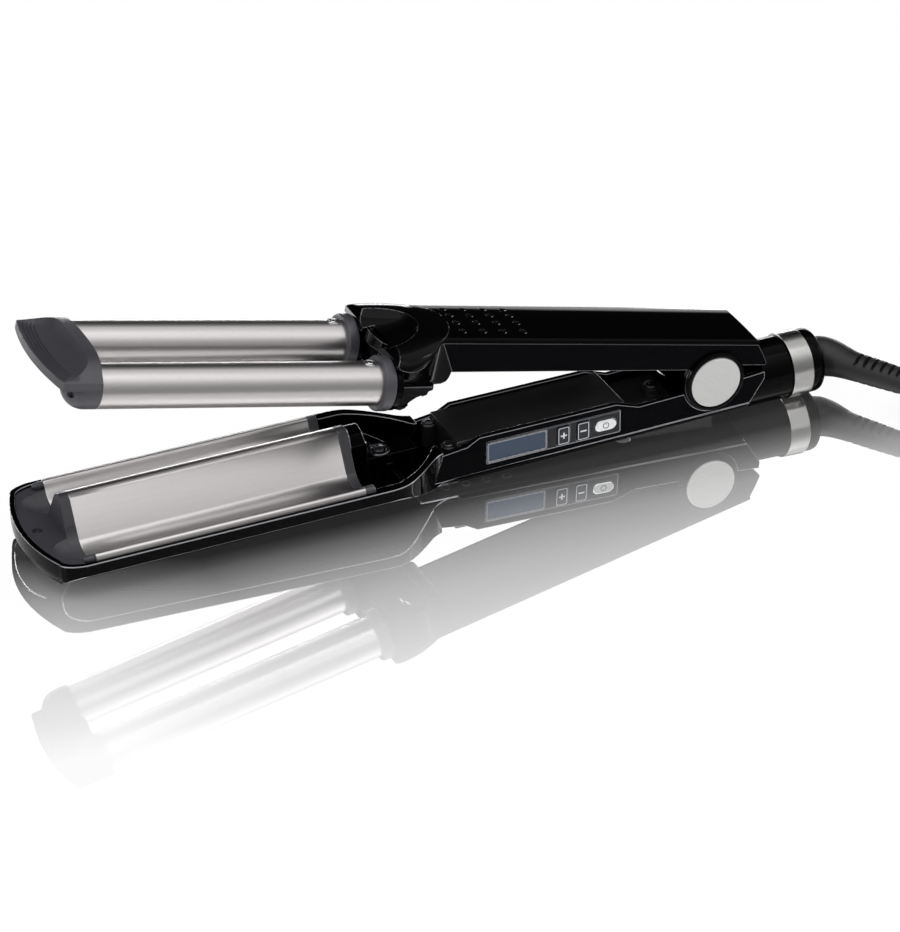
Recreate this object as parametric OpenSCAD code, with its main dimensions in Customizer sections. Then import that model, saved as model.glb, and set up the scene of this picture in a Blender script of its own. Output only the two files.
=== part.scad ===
// Hair waver: a spring-loaded upper arm with two heated barrels closes onto a waved plate in a
// tray, and a mains cord leaves the tail through a swivel.
// Both arms are drawn along X with the hinge axis at zero and the tip at -X.
// The whole is then laid down on the flat of the tray and on the tail ring.
// Origin: on the resting surface, in the middle of the tray's flat. +X to the cord, +Z up.

/* [Setting down] */
// how far the upper arm stands open (degrees)
open_angle = 13.5; // [8:0.5:18]
// slope of the arms down to the tip as the waver lies (degrees)
rest_pitch = 1.3; // [0.8:0.1:1.8]
// distance from the middle of the tray's flat to the hinge axis
hinge_x = 195; // [185:1:205]

/* [Barrels] */
// outer diameter of each heated barrel
barrel_d = 16; // [14:0.5:19]
// distance between the two barrel axes
barrel_pitch = 33; // [31:0.5:36]
// height of the barrel axes above the hinge line
barrel_z = 1.5; // [1:0.1:2]
// wall of the barrel tube
barrel_wall = 1.2; // [0.8:0.1:2]
// visible length of a barrel, from tip guard to collar
barrel_len = 107.4; // [95:0.1:120]
// outer diameter of the collar behind each barrel
collar_d = 20; // [18:0.2:22]
// length of a collar
collar_len = 8.8; // [6:0.2:11]
// depth that a barrel is let into its collar
collar_seat = 1; // [0.5:0.1:2]
// head diameter of the rivet on each barrel
rivet_d = 4.4; // [3:0.2:6]

/* [Tip guard] */
// half width of the guard plate
guard_half = 24.2; // [22:0.2:26]
// thickness of the guard's lip above its underside
guard_front_h = 3.2; // [2:0.1:5]
// height of the guard's thumb crest above the hinge line
guard_crest_z = 12; // [11:0.1:14]
// height of the guard's underside above the hinge line
guard_under_z = 3.4; // [3:0.1:4.5]
// depth of each ridge line on the guard's lip
ridge_depth = 0.5; // [0.3:0.1:1]

/* [Waved plate] */
// radius over the central crest
crest_r = 5; // [4:0.1:6]
// height of the crest's centre above the hinge line
crest_z = 4; // [3:0.1:5]
// radius of the two valleys
valley_r = 9.3; // [8.9:0.1:10]
// height of the valley centres above the hinge line
valley_z = 2.2; // [1.8:0.1:2.6]
// radius of the rolled lips
lip_r = 1.8; // [1.3:0.1:2.2]
// sheet thickness of the waved plate
plate_t = 1.2; // [0.8:0.1:1.5]
// width of the dark strip behind the plate
strip_w = 3.7; // [3:0.1:4.5]
// length of the black crest piece behind the strip
flange_len = 6.8; // [4:0.1:9]

/* [Tray] */
// half width of the tray at its rim
tray_half = 30.5; // [29:0.5:34]
// height of the rim below the hinge line
rim_drop = 2.5; // [2:0.1:3.5]
// height of the upright band under the rim
band_h = 4.6; // [3:0.1:7]
// depth of the lower shell below the hinge line
shell_drop = 18.6; // [18:0.1:20]
// radius of the tray's bow, seen from above
bow_r = 63; // [50:1:90]
// radius of the bow's keel, seen from the side
keel_r = 43.8; // [35:0.1:60]
// depth of the tray's inside below the hinge line
tray_floor_drop = 14.2; // [12:0.1:15]
// depth of the tip insert's face below the hinge line
insert_drop = 3.5; // [3:0.1:5]

/* [Handles] */
// width across the sides of both handles
handle_w = 28.2; // [26:0.2:32]
// wall of the handle sides
side_wall = 2.2; // [1.6:0.1:3]
// wall of the covers and of the lower shell under the handle
cover_wall = 2; // [1.4:0.1:3]
// height from the hinge line to the upper seam, at the hinge
seam_up = 14.85; // [14:0.05:16]
// slope of the upper seam (degrees)
seam_up_slope = 0.56; // [0:0.02:1]
// height from the hinge line down to the lower seam, at the hinge
seam_down = 13.6; // [13:0.05:14.2]
// slope of the lower seam (degrees)
seam_down_slope = 0.82; // [0:0.02:1.2]
// rise of the cover over its seam
cover_rise = 2.8; // [2:0.1:4]
// drop of the lower handle's back below its seam
bottom_rise = 3.4; // [2.8:0.1:3.6]
// radius of the covers' crown
crown_r = 71; // [50:1:100]
// height of the upper arm's underside above the hinge line
upper_under_z = 4.2; // [3:0.1:6]
// height of the lower handle's inner panel below the hinge line
deck_drop = 1.2; // [0.8:0.1:2]
// thickness of the panels that close the handles
panel_t = 1.5; // [1:0.1:2.5]
// spacing of the grip dimples along the handle
dimple_step_x = 8.2; // [6:0.1:10]
// spacing of the grip dimples across the handle
dimple_step_y = 6; // [4:0.1:7]
// number of dimples each way
dimple_count = 4; // [3:1:5]
// radius of the ball that forms a dimple
dimple_r = 2.4; // [1.5:0.1:4]
// depth of a dimple
dimple_depth = 0.5; // [0.2:0.1:1]

/* [Hinge] */
// diameter of the brushed disc on the hinge
disc_d = 20.4; // [16:0.2:22]
// outer diameter of the black ring around the disc
hinge_ring_d = 24; // [22:0.2:26]
// how far the disc stands proud of its ring
disc_proud = 0.2; // [0.1:0.1:0.6]
// thickness of the ring
hinge_ring_t = 1.2; // [0.8:0.1:2]
// diameter of the hinge pin
pin_d = 6; // [4:0.2:7]
// radial clearance of the pin in the upper arm's ears
pin_gap = 0.05; // [0.02:0.01:0.1]
// gap between pieces that move past each other
move_gap = 0.4; // [0.3:0.05:0.6]
// wire diameter of the hinge spring
spring_wire = 1.2; // [0.8:0.1:1.6]
// turns of the hinge spring
spring_turns = 8; // [4:1:9]

/* [Controls] */
// thickness of the control panel let into the side
control_t = 1.2; // [1:0.1:1.6]
// how far the control panel stands proud of the side
control_proud = 0.2; // [0:0.1:0.4]
// length of the control panel
control_len = 53.8; // [50:0.2:58]
// height of the control panel
control_h = 8.8; // [8:0.1:9.4]
// length of the display glass
display_len = 22.6; // [18:0.2:24]
// height of the display glass
display_h = 6.8; // [5:0.1:7]
// width of the frame around the display
bezel_w = 0.7; // [0.4:0.1:0.9]
// width of the plus and minus keys
key_w = 5; // [4:0.1:6]
// height of the plus and minus keys
key_h = 7.6; // [6:0.1:7.8]
// length of the oval power key
power_len = 8.6; // [6:0.1:10]
// height of the oval power key
power_h = 4.4; // [3:0.1:6]
// how far a key stands proud of the panel
key_proud = 0.6; // [0.5:0.1:1]
// travel of a key
key_travel = 0.5; // [0.3:0.1:0.5]
// gap around a key
key_gap = 0.2; // [0.15:0.05:0.3]

/* [Tail] */
// diameter of the tail barrel
tail_d = 24; // [22:0.2:25]
// depth of the tail's axis below the hinge line
tail_drop = 10.1; // [9.5:0.1:10.6]
// diameter of the brushed ring
ring_d = 25.4; // [24:0.2:27]
// distance from the hinge axis to the brushed ring
ring_x = 35.1; // [32:0.1:38]
// length of the brushed ring
ring_len = 8.7; // [6:0.1:11]
// diameter of the black end ring
end_d = 24.4; // [23:0.2:25.4]
// length of the black end ring
end_len = 5.1; // [4:0.1:7]
// diameter of the swivel's neck
neck_d = 16; // [13:0.2:17]
// radial clearance of the swivel's neck
neck_gap = 0.05; // [0.02:0.01:0.1]
// diameter of the mains cord
cord_d = 6.6; // [6:0.1:7]

/* [Hidden] */
facets = 64;
cut = 0.1;
far_out = 400;
barrel_r = barrel_d / 2;
barrel_y = barrel_pitch / 2;
collar_r = collar_d / 2;
side_y = handle_w / 2;
inner_y = side_y - side_wall;
tail_r = tail_d / 2;
ring_r = ring_d / 2;
hinge_z = (ring_r + tail_drop) * cos(rest_pitch) - ring_x * sin(rest_pitch);

// stations along the arms, from the hinge axis
barrel_rear_x = -142;
barrel_front_x = barrel_rear_x - barrel_len;
collar_rear_x = barrel_rear_x + collar_len;
plate_front_x = barrel_front_x + 0.6;
strip_rear_x = barrel_rear_x - 0.8;
plate_rear_x = strip_rear_x - strip_w;
bow_x = barrel_front_x - 17.6;
keel_x = bow_x + 30;
neck_end_x = -104;
deck_front_x = -103.5;
deck_step_x = -36;
deck_rear_x = -13.8;
upper_front_top_x = -116.8;
upper_front_low_x = -110.5;
upper_rear_x = 21;
lower_rear_x = 21.5;
shell_front_x = -115.4;

// levels, from the hinge line
rim_z = -rim_drop;
shell_z = -shell_drop;
tray_floor_z = -tray_floor_drop;
insert_z = -insert_drop;
deck_z = -deck_drop;
tail_z = -tail_drop;
wall_top = 40;

// ------------------------------------------------------------------ placing

module on_lower() {
    translate([hinge_x, 0, hinge_z])
        rotate([0, -rest_pitch, 0])
            children();
}

module on_upper() {
    on_lower()
        rotate([0, open_angle, 0])
            children();
}

function to_row(p) = [
    hinge_x + p[0] * cos(rest_pitch) - p[2] * sin(rest_pitch),
    p[1],
    hinge_z + p[0] * sin(rest_pitch) + p[2] * cos(rest_pitch)
];

// ------------------------------------------------------------------ drawing helpers

function arc(centre, r, from, to, steps) = [
    for (i = [0:steps])
        let (a = from + (to - from) * i / steps)
            [centre[0] + r * cos(a), centre[1] + r * sin(a)]
];

function backwards(points) = [for (i = [len(points) - 1:-1:0]) points[i]];

// a plan outline given for +Y, closed with its mirror image
function both_sides(half) = concat(half, [for (p = backwards(half)) [p[0], -p[1]]]);

// a cross-section given for +Y from the middle outwards, closed with its mirror image
function both_halves(half) = concat([for (p = backwards(half)) [-p[0], p[1]]], half);

// a side outline in X and Z, drawn through the width from y0 to y1
module through(y0, y1) {
    translate([0, y1, 0])
        rotate([90, 0, 0])
            linear_extrude(y1 - y0)
                children();
}

// a cross-section in Y and Z, drawn along X from x0 to x1
module along(x0, x1) {
    translate([x0, 0, 0])
        rotate([90, 0, 90])
            linear_extrude(x1 - x0)
                children();
}

module block(x0, x1, y0, y1, z0, z1) {
    translate([x0, y0, z0])
        cube([x1 - x0, y1 - y0, z1 - z0]);
}

module rod_x(x0, x1, y, z, r) {
    translate([x0, y, z])
        rotate([0, 90, 0])
            cylinder(h = x1 - x0, r = r, $fn = facets);
}

module rod_y(y0, y1, x, z, r) {
    translate([x, y1, z])
        rotate([90, 0, 0])
            cylinder(h = y1 - y0, r = r, $fn = facets);
}

module rod_z(z0, z1, x, y, r) {
    translate([x, y, z0])
        cylinder(h = z1 - z0, r = r, $fn = facets);
}

// the flat that the tray lies on
module below_floor() {
    block(-far_out, far_out, -far_out, far_out, -far_out, 0);
}

// a round tube through a list of points, with its radius at each
function ring_frame(path, i) =
    let (a = path[max(i - 1, 0)], b = path[min(i + 1, len(path) - 1)])
    let (t = (b - a) / norm(b - a))
    let (s = cross(t, [0, 0, 1]))
    let (side = s / norm(s))
        [side, cross(side, t)];

module swept_tube(path, radii, sides) {
    rings = len(path);
    points = [
        for (i = [0:rings - 1])
            let (f = ring_frame(path, i))
                for (k = [0:sides - 1])
                    let (a = 360 * k / sides)
                        path[i] + radii[i] * (cos(a) * f[0] + sin(a) * f[1])
    ];
    walls = [
        for (i = [0:rings - 2])
            for (k = [0:sides - 1])
                let (n = (k + 1) % sides)
                    [i * sides + k, i * sides + n, (i + 1) * sides + n, (i + 1) * sides + k]
    ];
    first = [for (k = [sides - 1:-1:0]) k];
    last = [for (k = [0:sides - 1]) (rings - 1) * sides + k];
    polyhedron(points = points, faces = concat([first, last], walls), convexity = 4);
}

// ------------------------------------------------------------------ the wave

crest_c = [0, crest_z];
valley_c = [barrel_y, valley_z];
crest_to_valley = valley_c - crest_c;
wave_turn = acos((crest_r + valley_r) / norm(crest_to_valley))
    + atan2(crest_to_valley[1], crest_to_valley[0]);
valley_end = -25;
lip_c = valley_c + (valley_r + lip_r) * [cos(valley_end), sin(valley_end)];
lip_out = lip_c[0] + lip_r;
lip_low = -4.5;

// the wave's upper face for +Y, moved down by t
function wave_half(t) = concat(
    arc(crest_c, crest_r - t, 90, wave_turn, 8),
    arc(valley_c, valley_r + t, 180 + wave_turn, 360 + valley_end, 14),
    arc(lip_c, lip_r - t, 180 + valley_end, 0, 6),
    [[lip_out - t, lip_low]]
);

module wave_sheet(t) {
    polygon(concat(both_halves(wave_half(0)), backwards(both_halves(wave_half(t)))));
}

// everything under the wave, down to a level
module wave_block(low) {
    polygon(concat(both_halves(wave_half(0)), [[lip_out, low], [-lip_out, low]]));
}

// ------------------------------------------------------------------ the lower shell

tray_wall = tray_half - lip_out;
keel_rise = shell_drop - rim_drop - band_h;
hull_r = (tray_half * tray_half + keel_rise * keel_rise) / (2 * keel_rise);
neck_wall = 4.1;

tray_side_plan = [
    [bow_x + 14, tray_half], [barrel_rear_x + 3, tray_half], [-134, tray_half - 0.2], [-130, 29], [-126, 26.6],
    [-122, 23.6], [-118, 20.1], [-114.5, 17], [-111, side_y + 0.9], [-107, side_y], [neck_end_x, side_y]
];
bow_corner_y = 25.5;

// the tray from above: a bow, a rounded corner, a straight side and the narrowing neck
module tray_plan(inset) {
    turn = asin((bow_corner_y - inset) / (bow_r - inset));
    polygon(both_sides(concat(
        [for (i = [0:8])
            let (a = turn * i / 8)
                [bow_x + bow_r - (bow_r - inset) * cos(a), (bow_r - inset) * sin(a)]],
        [[bow_x + 8.6 + inset / 2, tray_half - 1.6 - inset], [bow_x + 11.4, tray_half - 0.4 - inset]],
        [for (p = tray_side_plan) [p[0], p[1] - inset]]
    )));
}

// the tray from the side: flat, then curving up to the bow
module keel_side(inset) {
    polygon(concat(
        [[neck_end_x, shell_z + inset]],
        arc([keel_x, shell_z + keel_r], keel_r - inset, 270, 220, 10),
        [[keel_x - keel_r, wall_top], [neck_end_x, wall_top]]
    ));
}

module tray_form(inset, low, high) {
    intersection() {
        translate([0, 0, low])
            linear_extrude(high - low)
                tray_plan(inset);
        along(bow_x - cut, neck_end_x + cut)
            translate([0, shell_z + hull_r])
                circle(r = hull_r - inset, $fn = facets * 2);
        through(-tray_half - 1, tray_half + 1)
            keel_side(inset);
    }
}

neck_half_plan = [
    [strip_rear_x, tray_half - neck_wall], [-132.5, tray_half - neck_wall], [-129.7, 24.8],
    [-125.8, 22.8], [-121.5, 19.5], [-117.6, 16], [-114, inner_y - 0.2], [-111.6, 8.4],
    [deck_front_x - 2, 8.4]
];

// the part of the side view that the handle's side frame takes
function lower_seam(x) = -seam_down + x * tan(seam_down_slope);

lower_rear_low = [15.5, lower_seam(15.5)];
lower_rear_top = [lower_rear_x, -4.3];

frame_front_top = [-110.2, -4.1];

frame_outline = [
    [shell_front_x, lower_seam(shell_front_x)],
    frame_front_top, [-100.6, -3], [-95.5, -0.2], [-40.5, -0.2], [-31, -3.5],
    [11.3, -2.2], [21.4, -1.5], lower_rear_top, lower_rear_low
];

// a line behind which the tail barrel stands, carried on past the frame
tail_slope = (lower_rear_top[0] - lower_rear_low[0]) / (lower_rear_top[1] - lower_rear_low[1]);
function tail_line(z) = lower_rear_low[0] + (z - lower_rear_low[1]) * tail_slope;

// the rounded section of a cover, from a level up to its crown
module crown_section(top, half, low) {
    corner = 1.4;
    shoulder = top - (half - corner) * (half - corner) / (2 * crown_r);
    crown = [for (y = [0:2:half - corner]) [y, top - y * y / (2 * crown_r)]];
    polygon(concat(
        [[-half, low], [-half, shoulder - corner], [-half + 0.4 * corner, shoulder - 0.3 * corner]],
        both_halves(crown),
        [[half - 0.4 * corner, shoulder - 0.3 * corner], [half, shoulder - corner], [half, low]]
    ));
}

module lower_bottom_form(inset, low) {
    rotate([0, -seam_down_slope, 0])
        mirror([0, 0, 1])
            along(neck_end_x - 16, 16 + inset)
                crown_section(seam_down + bottom_rise - inset, side_y - inset, low);
}

module lower_shell_form() {
    difference() {
        tray_form(0, -far_out / 10, rim_z);
        through(-far_out / 4, far_out / 4)
            polygon([
                frame_outline[0], frame_front_top, [frame_front_top[0], wall_top],
                [lower_rear_x, wall_top], lower_rear_low
            ]);
    }
    intersection() {
        lower_bottom_form(0, seam_down - 2);
        through(-side_y, side_y)
            polygon([
                [-119, shell_z - 2], [-119, lower_seam(-119)], [-40, lower_seam(-40)],
                lower_rear_low, [tail_line(shell_z - 2), shell_z - 2]
            ]);
    }
}

lower_screw_x = [-88, -30];

module lower_shell() color("#101114") {
    difference() {
        on_lower() {
            difference() {
                lower_shell_form();
                intersection() {
                    tray_form(tray_wall, tray_floor_z, wall_top);
                    block(bow_x, strip_rear_x, -far_out / 4, far_out / 4, tray_floor_z, wall_top);
                }
                intersection() {
                    tray_form(cover_wall, tray_floor_z, wall_top);
                    translate([0, 0, tray_floor_z])
                        linear_extrude(wall_top)
                            polygon(both_sides(neck_half_plan));
                }
                intersection() {
                    lower_bottom_form(cover_wall, 5);
                    block(deck_front_x - 2, 10, -inner_y, inner_y, shell_z, wall_top);
                }
                for (i = [0:dimple_count - 1], j = [0:dimple_count - 1])
                    lower_dimple(i, j);
                for (x = lower_screw_x)
                    screw_hole(x);
            }
        }
        below_floor();
    }
}

dimple_x = -107;

function dimple_y(j) = (j - (dimple_count - 1) / 2) * dimple_step_y;
function crown_z(top, y) = top - y * y / (2 * crown_r);
cover_top = seam_up + cover_rise;
bottom_top = seam_down + bottom_rise;

module lower_dimple(i, j) {
    rotate([0, -seam_down_slope, 0])
        translate([
            dimple_x + i * dimple_step_x, dimple_y(j),
            -crown_z(bottom_top, dimple_y(j)) - dimple_r + dimple_depth
        ])
            sphere(r = dimple_r, $fn = 24);
}

screw_head_r = 2.6;
screw_r = 1.4;
screw_sink = 1;

function shell_face(x) = -bottom_top + x * tan(seam_down_slope);

module screw_hole(x) {
    rod_z(shell_face(x) - 1, shell_face(x) + screw_sink, x, 0, screw_head_r);
    rod_z(shell_face(x), shell_face(x) + 6, x, 0, screw_r);
}

module shell_screw(x) color("#8a8c90") on_lower() {
    difference() {
        rod_z(shell_face(x) + 0.2, shell_face(x) + screw_sink, x, 0, screw_head_r);
        block(x - 2, x + 2, -0.4, 0.4, shell_face(x), shell_face(x) + 0.6);
    }
    rod_z(shell_face(x) + screw_sink, shell_face(x) + 5, x, 0, screw_r);
}

module shell_screw_front() {
    shell_screw(lower_screw_x[0]);
}

module shell_screw_rear() {
    shell_screw(lower_screw_x[1]);
}

// ------------------------------------------------------------------ lower handle frame

ear_r = hinge_ring_d / 2;
ear_room_r = ear_r + move_gap;
knuckle_r = 7;
knuckle_in = 6.6;
knuckle_out = inner_y - move_gap;
web_t = 1.6;
pocket_y = -side_y + control_t - control_proud;
control_x0 = -92.6;
control_z0 = -11.9;
control_z1 = control_z0 + control_h;

module lower_frame() color("#15161a") on_lower() {
    difference() {
        union() {
            through(-side_y, side_y)
                polygon(frame_outline);
        }
        // the hollow between the two sides, open at the top and at the front
        through(-inner_y, inner_y)
            polygon([
                [shell_front_x - 2, lower_seam(shell_front_x) - 2],
                [shell_front_x - 2, wall_top],
                [lower_rear_x + 9, wall_top],
                [tail_line(-2.6) - web_t, -2.6],
                [tail_line(lower_seam(14) + web_t) - web_t, lower_seam(14) + web_t],
                [neck_end_x, lower_seam(neck_end_x) + web_t],
                [neck_end_x, lower_seam(neck_end_x) - 2]
            ]);
        for (s = [-1, 1])
            rod_y(min(s * inner_y, s * (side_y + 1)), max(s * inner_y, s * (side_y + 1)), 0, 0, ear_room_r);
        control_pocket();
        rod_x(5, lower_rear_x + 9, 0, tail_z, tail_bore_r);
        for (x = lower_screw_x)
            rod_z(shell_face(x), lower_seam(x) + web_t + 1, x, 0, screw_r);
    }
    for (s = [-1, 1])
        knuckle(s);
}

module knuckle(s) {
    y0 = min(s * knuckle_in, s * knuckle_out);
    y1 = max(s * knuckle_in, s * knuckle_out);
    difference() {
        union() {
            rod_y(y0, y1, 0, 0, knuckle_r);
            block(-knuckle_r, knuckle_r, y0, y1, lower_seam(0) + web_t / 2, 0);
        }
        rod_y(y0 - 1, y1 + 1, 0, 0, pin_d / 2);
    }
}

module control_pocket() {
    block(control_x0, control_x0 + control_len, -side_y - 1, pocket_y, control_z0, control_z1);
    block(
        display_x0 + 1, display_x0 + display_len - 1,
        -side_y - 1, -inner_y + 1, display_z0 + 1, display_z0 + display_h - 1
    );
    for (x = [plus_x, minus_x])
        block(
            x - key_w / 2 - key_gap, x + key_w / 2 + key_gap, -side_y - 1, -inner_y + 1,
            key_mid_z - key_h / 2 - key_gap, key_mid_z + key_h / 2 + key_gap
        );
    power_outline(-side_y - 1, -inner_y + 1, key_gap);
}

// ------------------------------------------------------------------ controls

display_x0 = control_x0 + bezel_w;
display_z0 = control_z0 + (control_h - display_h) / 2;
key_mid_z = control_z0 + control_h / 2;
plus_x = -62;
minus_x = -54;
power_x = -44.8;

module power_outline(y0, y1, gap) {
    reach = (power_len - power_h) / 2;
    for (s = [-1, 1])
        rod_y(y0, y1, power_x + s * reach, key_mid_z, power_h / 2 + gap);
    block(
        power_x - reach, power_x + reach, y0, y1,
        key_mid_z - power_h / 2 - gap, key_mid_z + power_h / 2 + gap
    );
}

panel_face_y = -side_y - control_proud;

module control_panel() color("#1b1e26") on_lower() {
    difference() {
        block(control_x0, control_x0 + control_len, panel_face_y, pocket_y, control_z0, control_z1);
        block(
            display_x0 - bezel_w - 1, display_x0 + display_len + bezel_w, panel_face_y - 1, pocket_y + 1,
            display_z0 - bezel_w, display_z0 + display_h + bezel_w
        );
        for (x = [plus_x, minus_x])
            block(
                x - key_w / 2 - key_gap, x + key_w / 2 + key_gap, panel_face_y - 1, pocket_y + 1,
                key_mid_z - key_h / 2 - key_gap, key_mid_z + key_h / 2 + key_gap
            );
        power_outline(panel_face_y - 1, pocket_y + 1, key_gap);
    }
}

module display_bezel() color("#b9b2a2") on_lower() {
    difference() {
        block(
            display_x0 - bezel_w, display_x0 + display_len + bezel_w, panel_face_y - 0.1, pocket_y,
            display_z0 - bezel_w, display_z0 + display_h + bezel_w
        );
        block(
            display_x0, display_x0 + display_len, panel_face_y - 1, pocket_y + 1,
            display_z0, display_z0 + display_h
        );
    }
}

module display_window() color("#4b5a6b") on_lower() {
    block(
        display_x0, display_x0 + display_len, panel_face_y, pocket_y,
        display_z0, display_z0 + display_h
    );
}

key_back_y = -inner_y - 0.3;

module key_block(x) {
    block(
        x - key_w / 2, x + key_w / 2, panel_face_y - key_proud, key_back_y,
        key_mid_z - key_h / 2, key_mid_z + key_h / 2
    );
}

module button_plus() color("#20242e") on_lower() {
    key_block(plus_x);
}

module button_minus() color("#20242e") on_lower() {
    key_block(minus_x);
}

module button_power() color("#c9ccd2") on_lower() {
    power_outline(panel_face_y - key_proud, key_back_y, 0);
}

board_y = -9.4;
board_t = 1.4;
switch_y = key_back_y + key_travel + 0.1;

module circuit_board() color("#1f5a3a") on_lower() {
    block(
        control_x0 + 2, control_x0 + control_len - 1, board_y, board_y + board_t,
        lower_seam(control_x0) + web_t + 0.9, deck_z - panel_t - 0.3
    );
}

module switch_block() color("#d0d0cc") on_lower() {
    for (x = [plus_x, minus_x, power_x])
        block(x - 2, x + 2, switch_y, board_y, key_mid_z - 2, key_mid_z + 2);
}

module display_module() color("#9aa39a") on_lower() {
    block(
        display_x0 + 2, display_x0 + display_len - 1.5, -inner_y, board_y,
        display_z0 - 0.5, display_z0 + display_h
    );
}

module board_post() color("#202226") on_lower() {
    for (x = [control_x0 + 8, control_x0 + control_len - 8])
        difference() {
            block(
                x - 2, x + 2, board_y + board_t, board_y + board_t + 4,
                lower_seam(neck_end_x) - 2, deck_z - panel_t
            );
            through(-far_out / 4, far_out / 4)
                polygon([
                    [-120, -30], [-120, lower_seam(-120) + web_t], [0, lower_seam(0) + web_t], [0, -30]
                ]);
        }
}

// ------------------------------------------------------------------ inner deck

deck_low_z = -7;
boss_x = -19;
neck_boss_y = 8.6;
neck_boss_r = 2.8;

module inner_deck() color("#26282d") on_lower() {
    difference() {
        union() {
            through(-inner_y, inner_y)
                polygon([
                    [deck_front_x, deck_z], [deck_step_x, deck_z], [deck_step_x + 2, deck_low_z],
                    [deck_rear_x, deck_low_z], [deck_rear_x, deck_low_z - panel_t],
                    [deck_step_x + 0.5, deck_low_z - panel_t], [deck_step_x - 1.5, deck_z - panel_t],
                    [deck_front_x + panel_t, deck_z - panel_t], [deck_front_x + panel_t, -13],
                    [deck_front_x, -13]
                ]);
            rod_z(deck_low_z - panel_t, deck_low_z + 2.2, boss_x, 0, 4);
            for (s = [-1, 1])
                intersection() {
                    rod_z(-12.6, -3.4, deck_front_x - 2, s * neck_boss_y, neck_boss_r);
                    block(deck_front_x - 6, deck_front_x + 0.5, -inner_y, inner_y, -13, 0);
                }
        }
        rod_z(deck_low_z - 5, deck_low_z + 5, boss_x, 0, screw_r);
        for (s = [-1, 1])
            rod_z(-8, -3, deck_front_x - 2, s * neck_boss_y, 1);
    }
}

module deck_screw() color("#9a9ca0") on_lower() {
    rod_z(deck_low_z + 2.2, deck_low_z + 3.4, boss_x, 0, screw_head_r);
    rod_z(deck_low_z - 4, deck_low_z + 2.2, boss_x, 0, screw_r);
}

module neck_screw(s) color("#9a9ca0") on_lower() {
    rod_z(-3.4, -2.6, deck_front_x - 2, s * neck_boss_y, 1.9);
    rod_z(-8, -3.4, deck_front_x - 2, s * neck_boss_y, 1);
}

module neck_screw_near() {
    neck_screw(-1);
}

module neck_screw_far() {
    neck_screw(1);
}

// ------------------------------------------------------------------ neck bracket

bar_z = -4.2;
bar_x0 = strip_rear_x + flange_len + 0.6;
bar_x1 = -116;
bar_half = 4.5;

module neck_bracket() color("#1a1b1f") on_lower() {
    difference() {
        union() {
            block(bar_x0, bar_x1, -bar_half, bar_half, bar_z - 2, bar_z);
            block(bar_x0 + 4, bar_x1 - 2, -bar_half + 1.5, bar_half - 1.5, tray_floor_z, bar_z - 2);
            for (s = [-1, 1])
                block(bar_x0 + 8, bar_x0 + 10, min(0, s * 14), max(0, s * 14), tray_floor_z, -9);
        }
        rod_z(bar_z - 6, bar_z + 1, bar_x0 + 6, 0, screw_r);
    }
}

module bracket_screw() color("#9a9ca0") on_lower() {
    rod_z(bar_z, bar_z + 1, bar_x0 + 6, 0, screw_head_r);
    rod_z(bar_z - 6, bar_z, bar_x0 + 6, 0, screw_r);
}

// ------------------------------------------------------------------ tray contents

module wave_plate() color("#96918c") on_lower() {
    along(plate_front_x, plate_rear_x)
        wave_sheet(plate_t);
}

carrier_top = valley_z - valley_r - plate_t;
carrier_t = 2.2;
carrier_half = 22;
heater_half = 3;

module plate_carrier() color("#6d6a66") on_lower() {
    block(
        plate_front_x + 2, plate_rear_x - 2, -carrier_half, carrier_half,
        carrier_top - carrier_t, carrier_top
    );
}

module plate_heater() color("#c8c3b4") on_lower() {
    rod_x(plate_front_x + 8, plate_rear_x - 8, 0, crest_z, crest_r - plate_t - 0.05);
    block(plate_front_x + 8, plate_rear_x - 8, -heater_half, heater_half, carrier_top, crest_z);
}

module plate_cushion(x) color("#5a2f24") on_lower() {
    rod_z(tray_floor_z, carrier_top - carrier_t, x, 0, 6);
}

module plate_cushion_front() {
    plate_cushion(plate_front_x + 26);
}

module plate_cushion_rear() {
    plate_cushion(plate_rear_x - 26);
}

module end_strip() color("#58585e") on_lower() {
    intersection() {
        along(plate_rear_x, strip_rear_x)
            wave_block(tray_floor_z + 4);
        tray_form(tray_wall, tray_floor_z, wall_top);
    }
}

flange_half = 5.6;

module crest_flange() color("#0f1012") on_lower() {
    intersection() {
        along(strip_rear_x, strip_rear_x + flange_len)
            polygon(both_halves(concat(
                arc(crest_c, crest_r - 0.4, 90, 20, 8),
                [[flange_half, crest_z - 4], [flange_half, tray_floor_z + 4]]
            )));
        block(strip_rear_x, strip_rear_x + flange_len, -10, 10, tray_floor_z, wall_top);
    }
}

guard_pivot_x = plate_front_x;

// the wave's half outline, turned into a round end for the crest
module crest_end(grow, low) {
    profile = concat(
        [[0, crest_z + crest_r + grow]],
        arc(crest_c, crest_r + grow, 84, wave_turn, 8),
        arc(valley_c, valley_r - grow, 180 + wave_turn, 225, 4),
        [[barrel_y - (valley_r - grow) * cos(45), low], [0, low]]
    );
    translate([guard_pivot_x, 0, 0])
        rotate_extrude($fn = facets)
            polygon(profile);
}

tray_screw_x = bow_x + 6.6;

module tip_insert() color("#58585e") on_lower() {
    difference() {
        intersection() {
            union() {
                tray_form(tray_wall, tray_floor_z, insert_z);
                crest_end(0, insert_z - 3);
            }
            block(bow_x, plate_front_x, -far_out / 4, far_out / 4, tray_floor_z, wall_top);
        }
        for (s = [-1, 1])
            translate([barrel_front_x - 4, s * barrel_y, valley_z]) {
                sphere(r = valley_r, $fn = facets);
                rotate([0, 90, 0])
                    cylinder(h = 10, r = valley_r, $fn = facets);
            }
        rod_z(insert_z - 3, insert_z + 1, tray_screw_x, 0, 1.9);
    }
}

module tray_screw() color("#3a3b3f") on_lower() {
    rod_z(insert_z - 3, insert_z - 1.4, tray_screw_x, 0, 1.9);
}

// ------------------------------------------------------------------ tail and hinge

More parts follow.
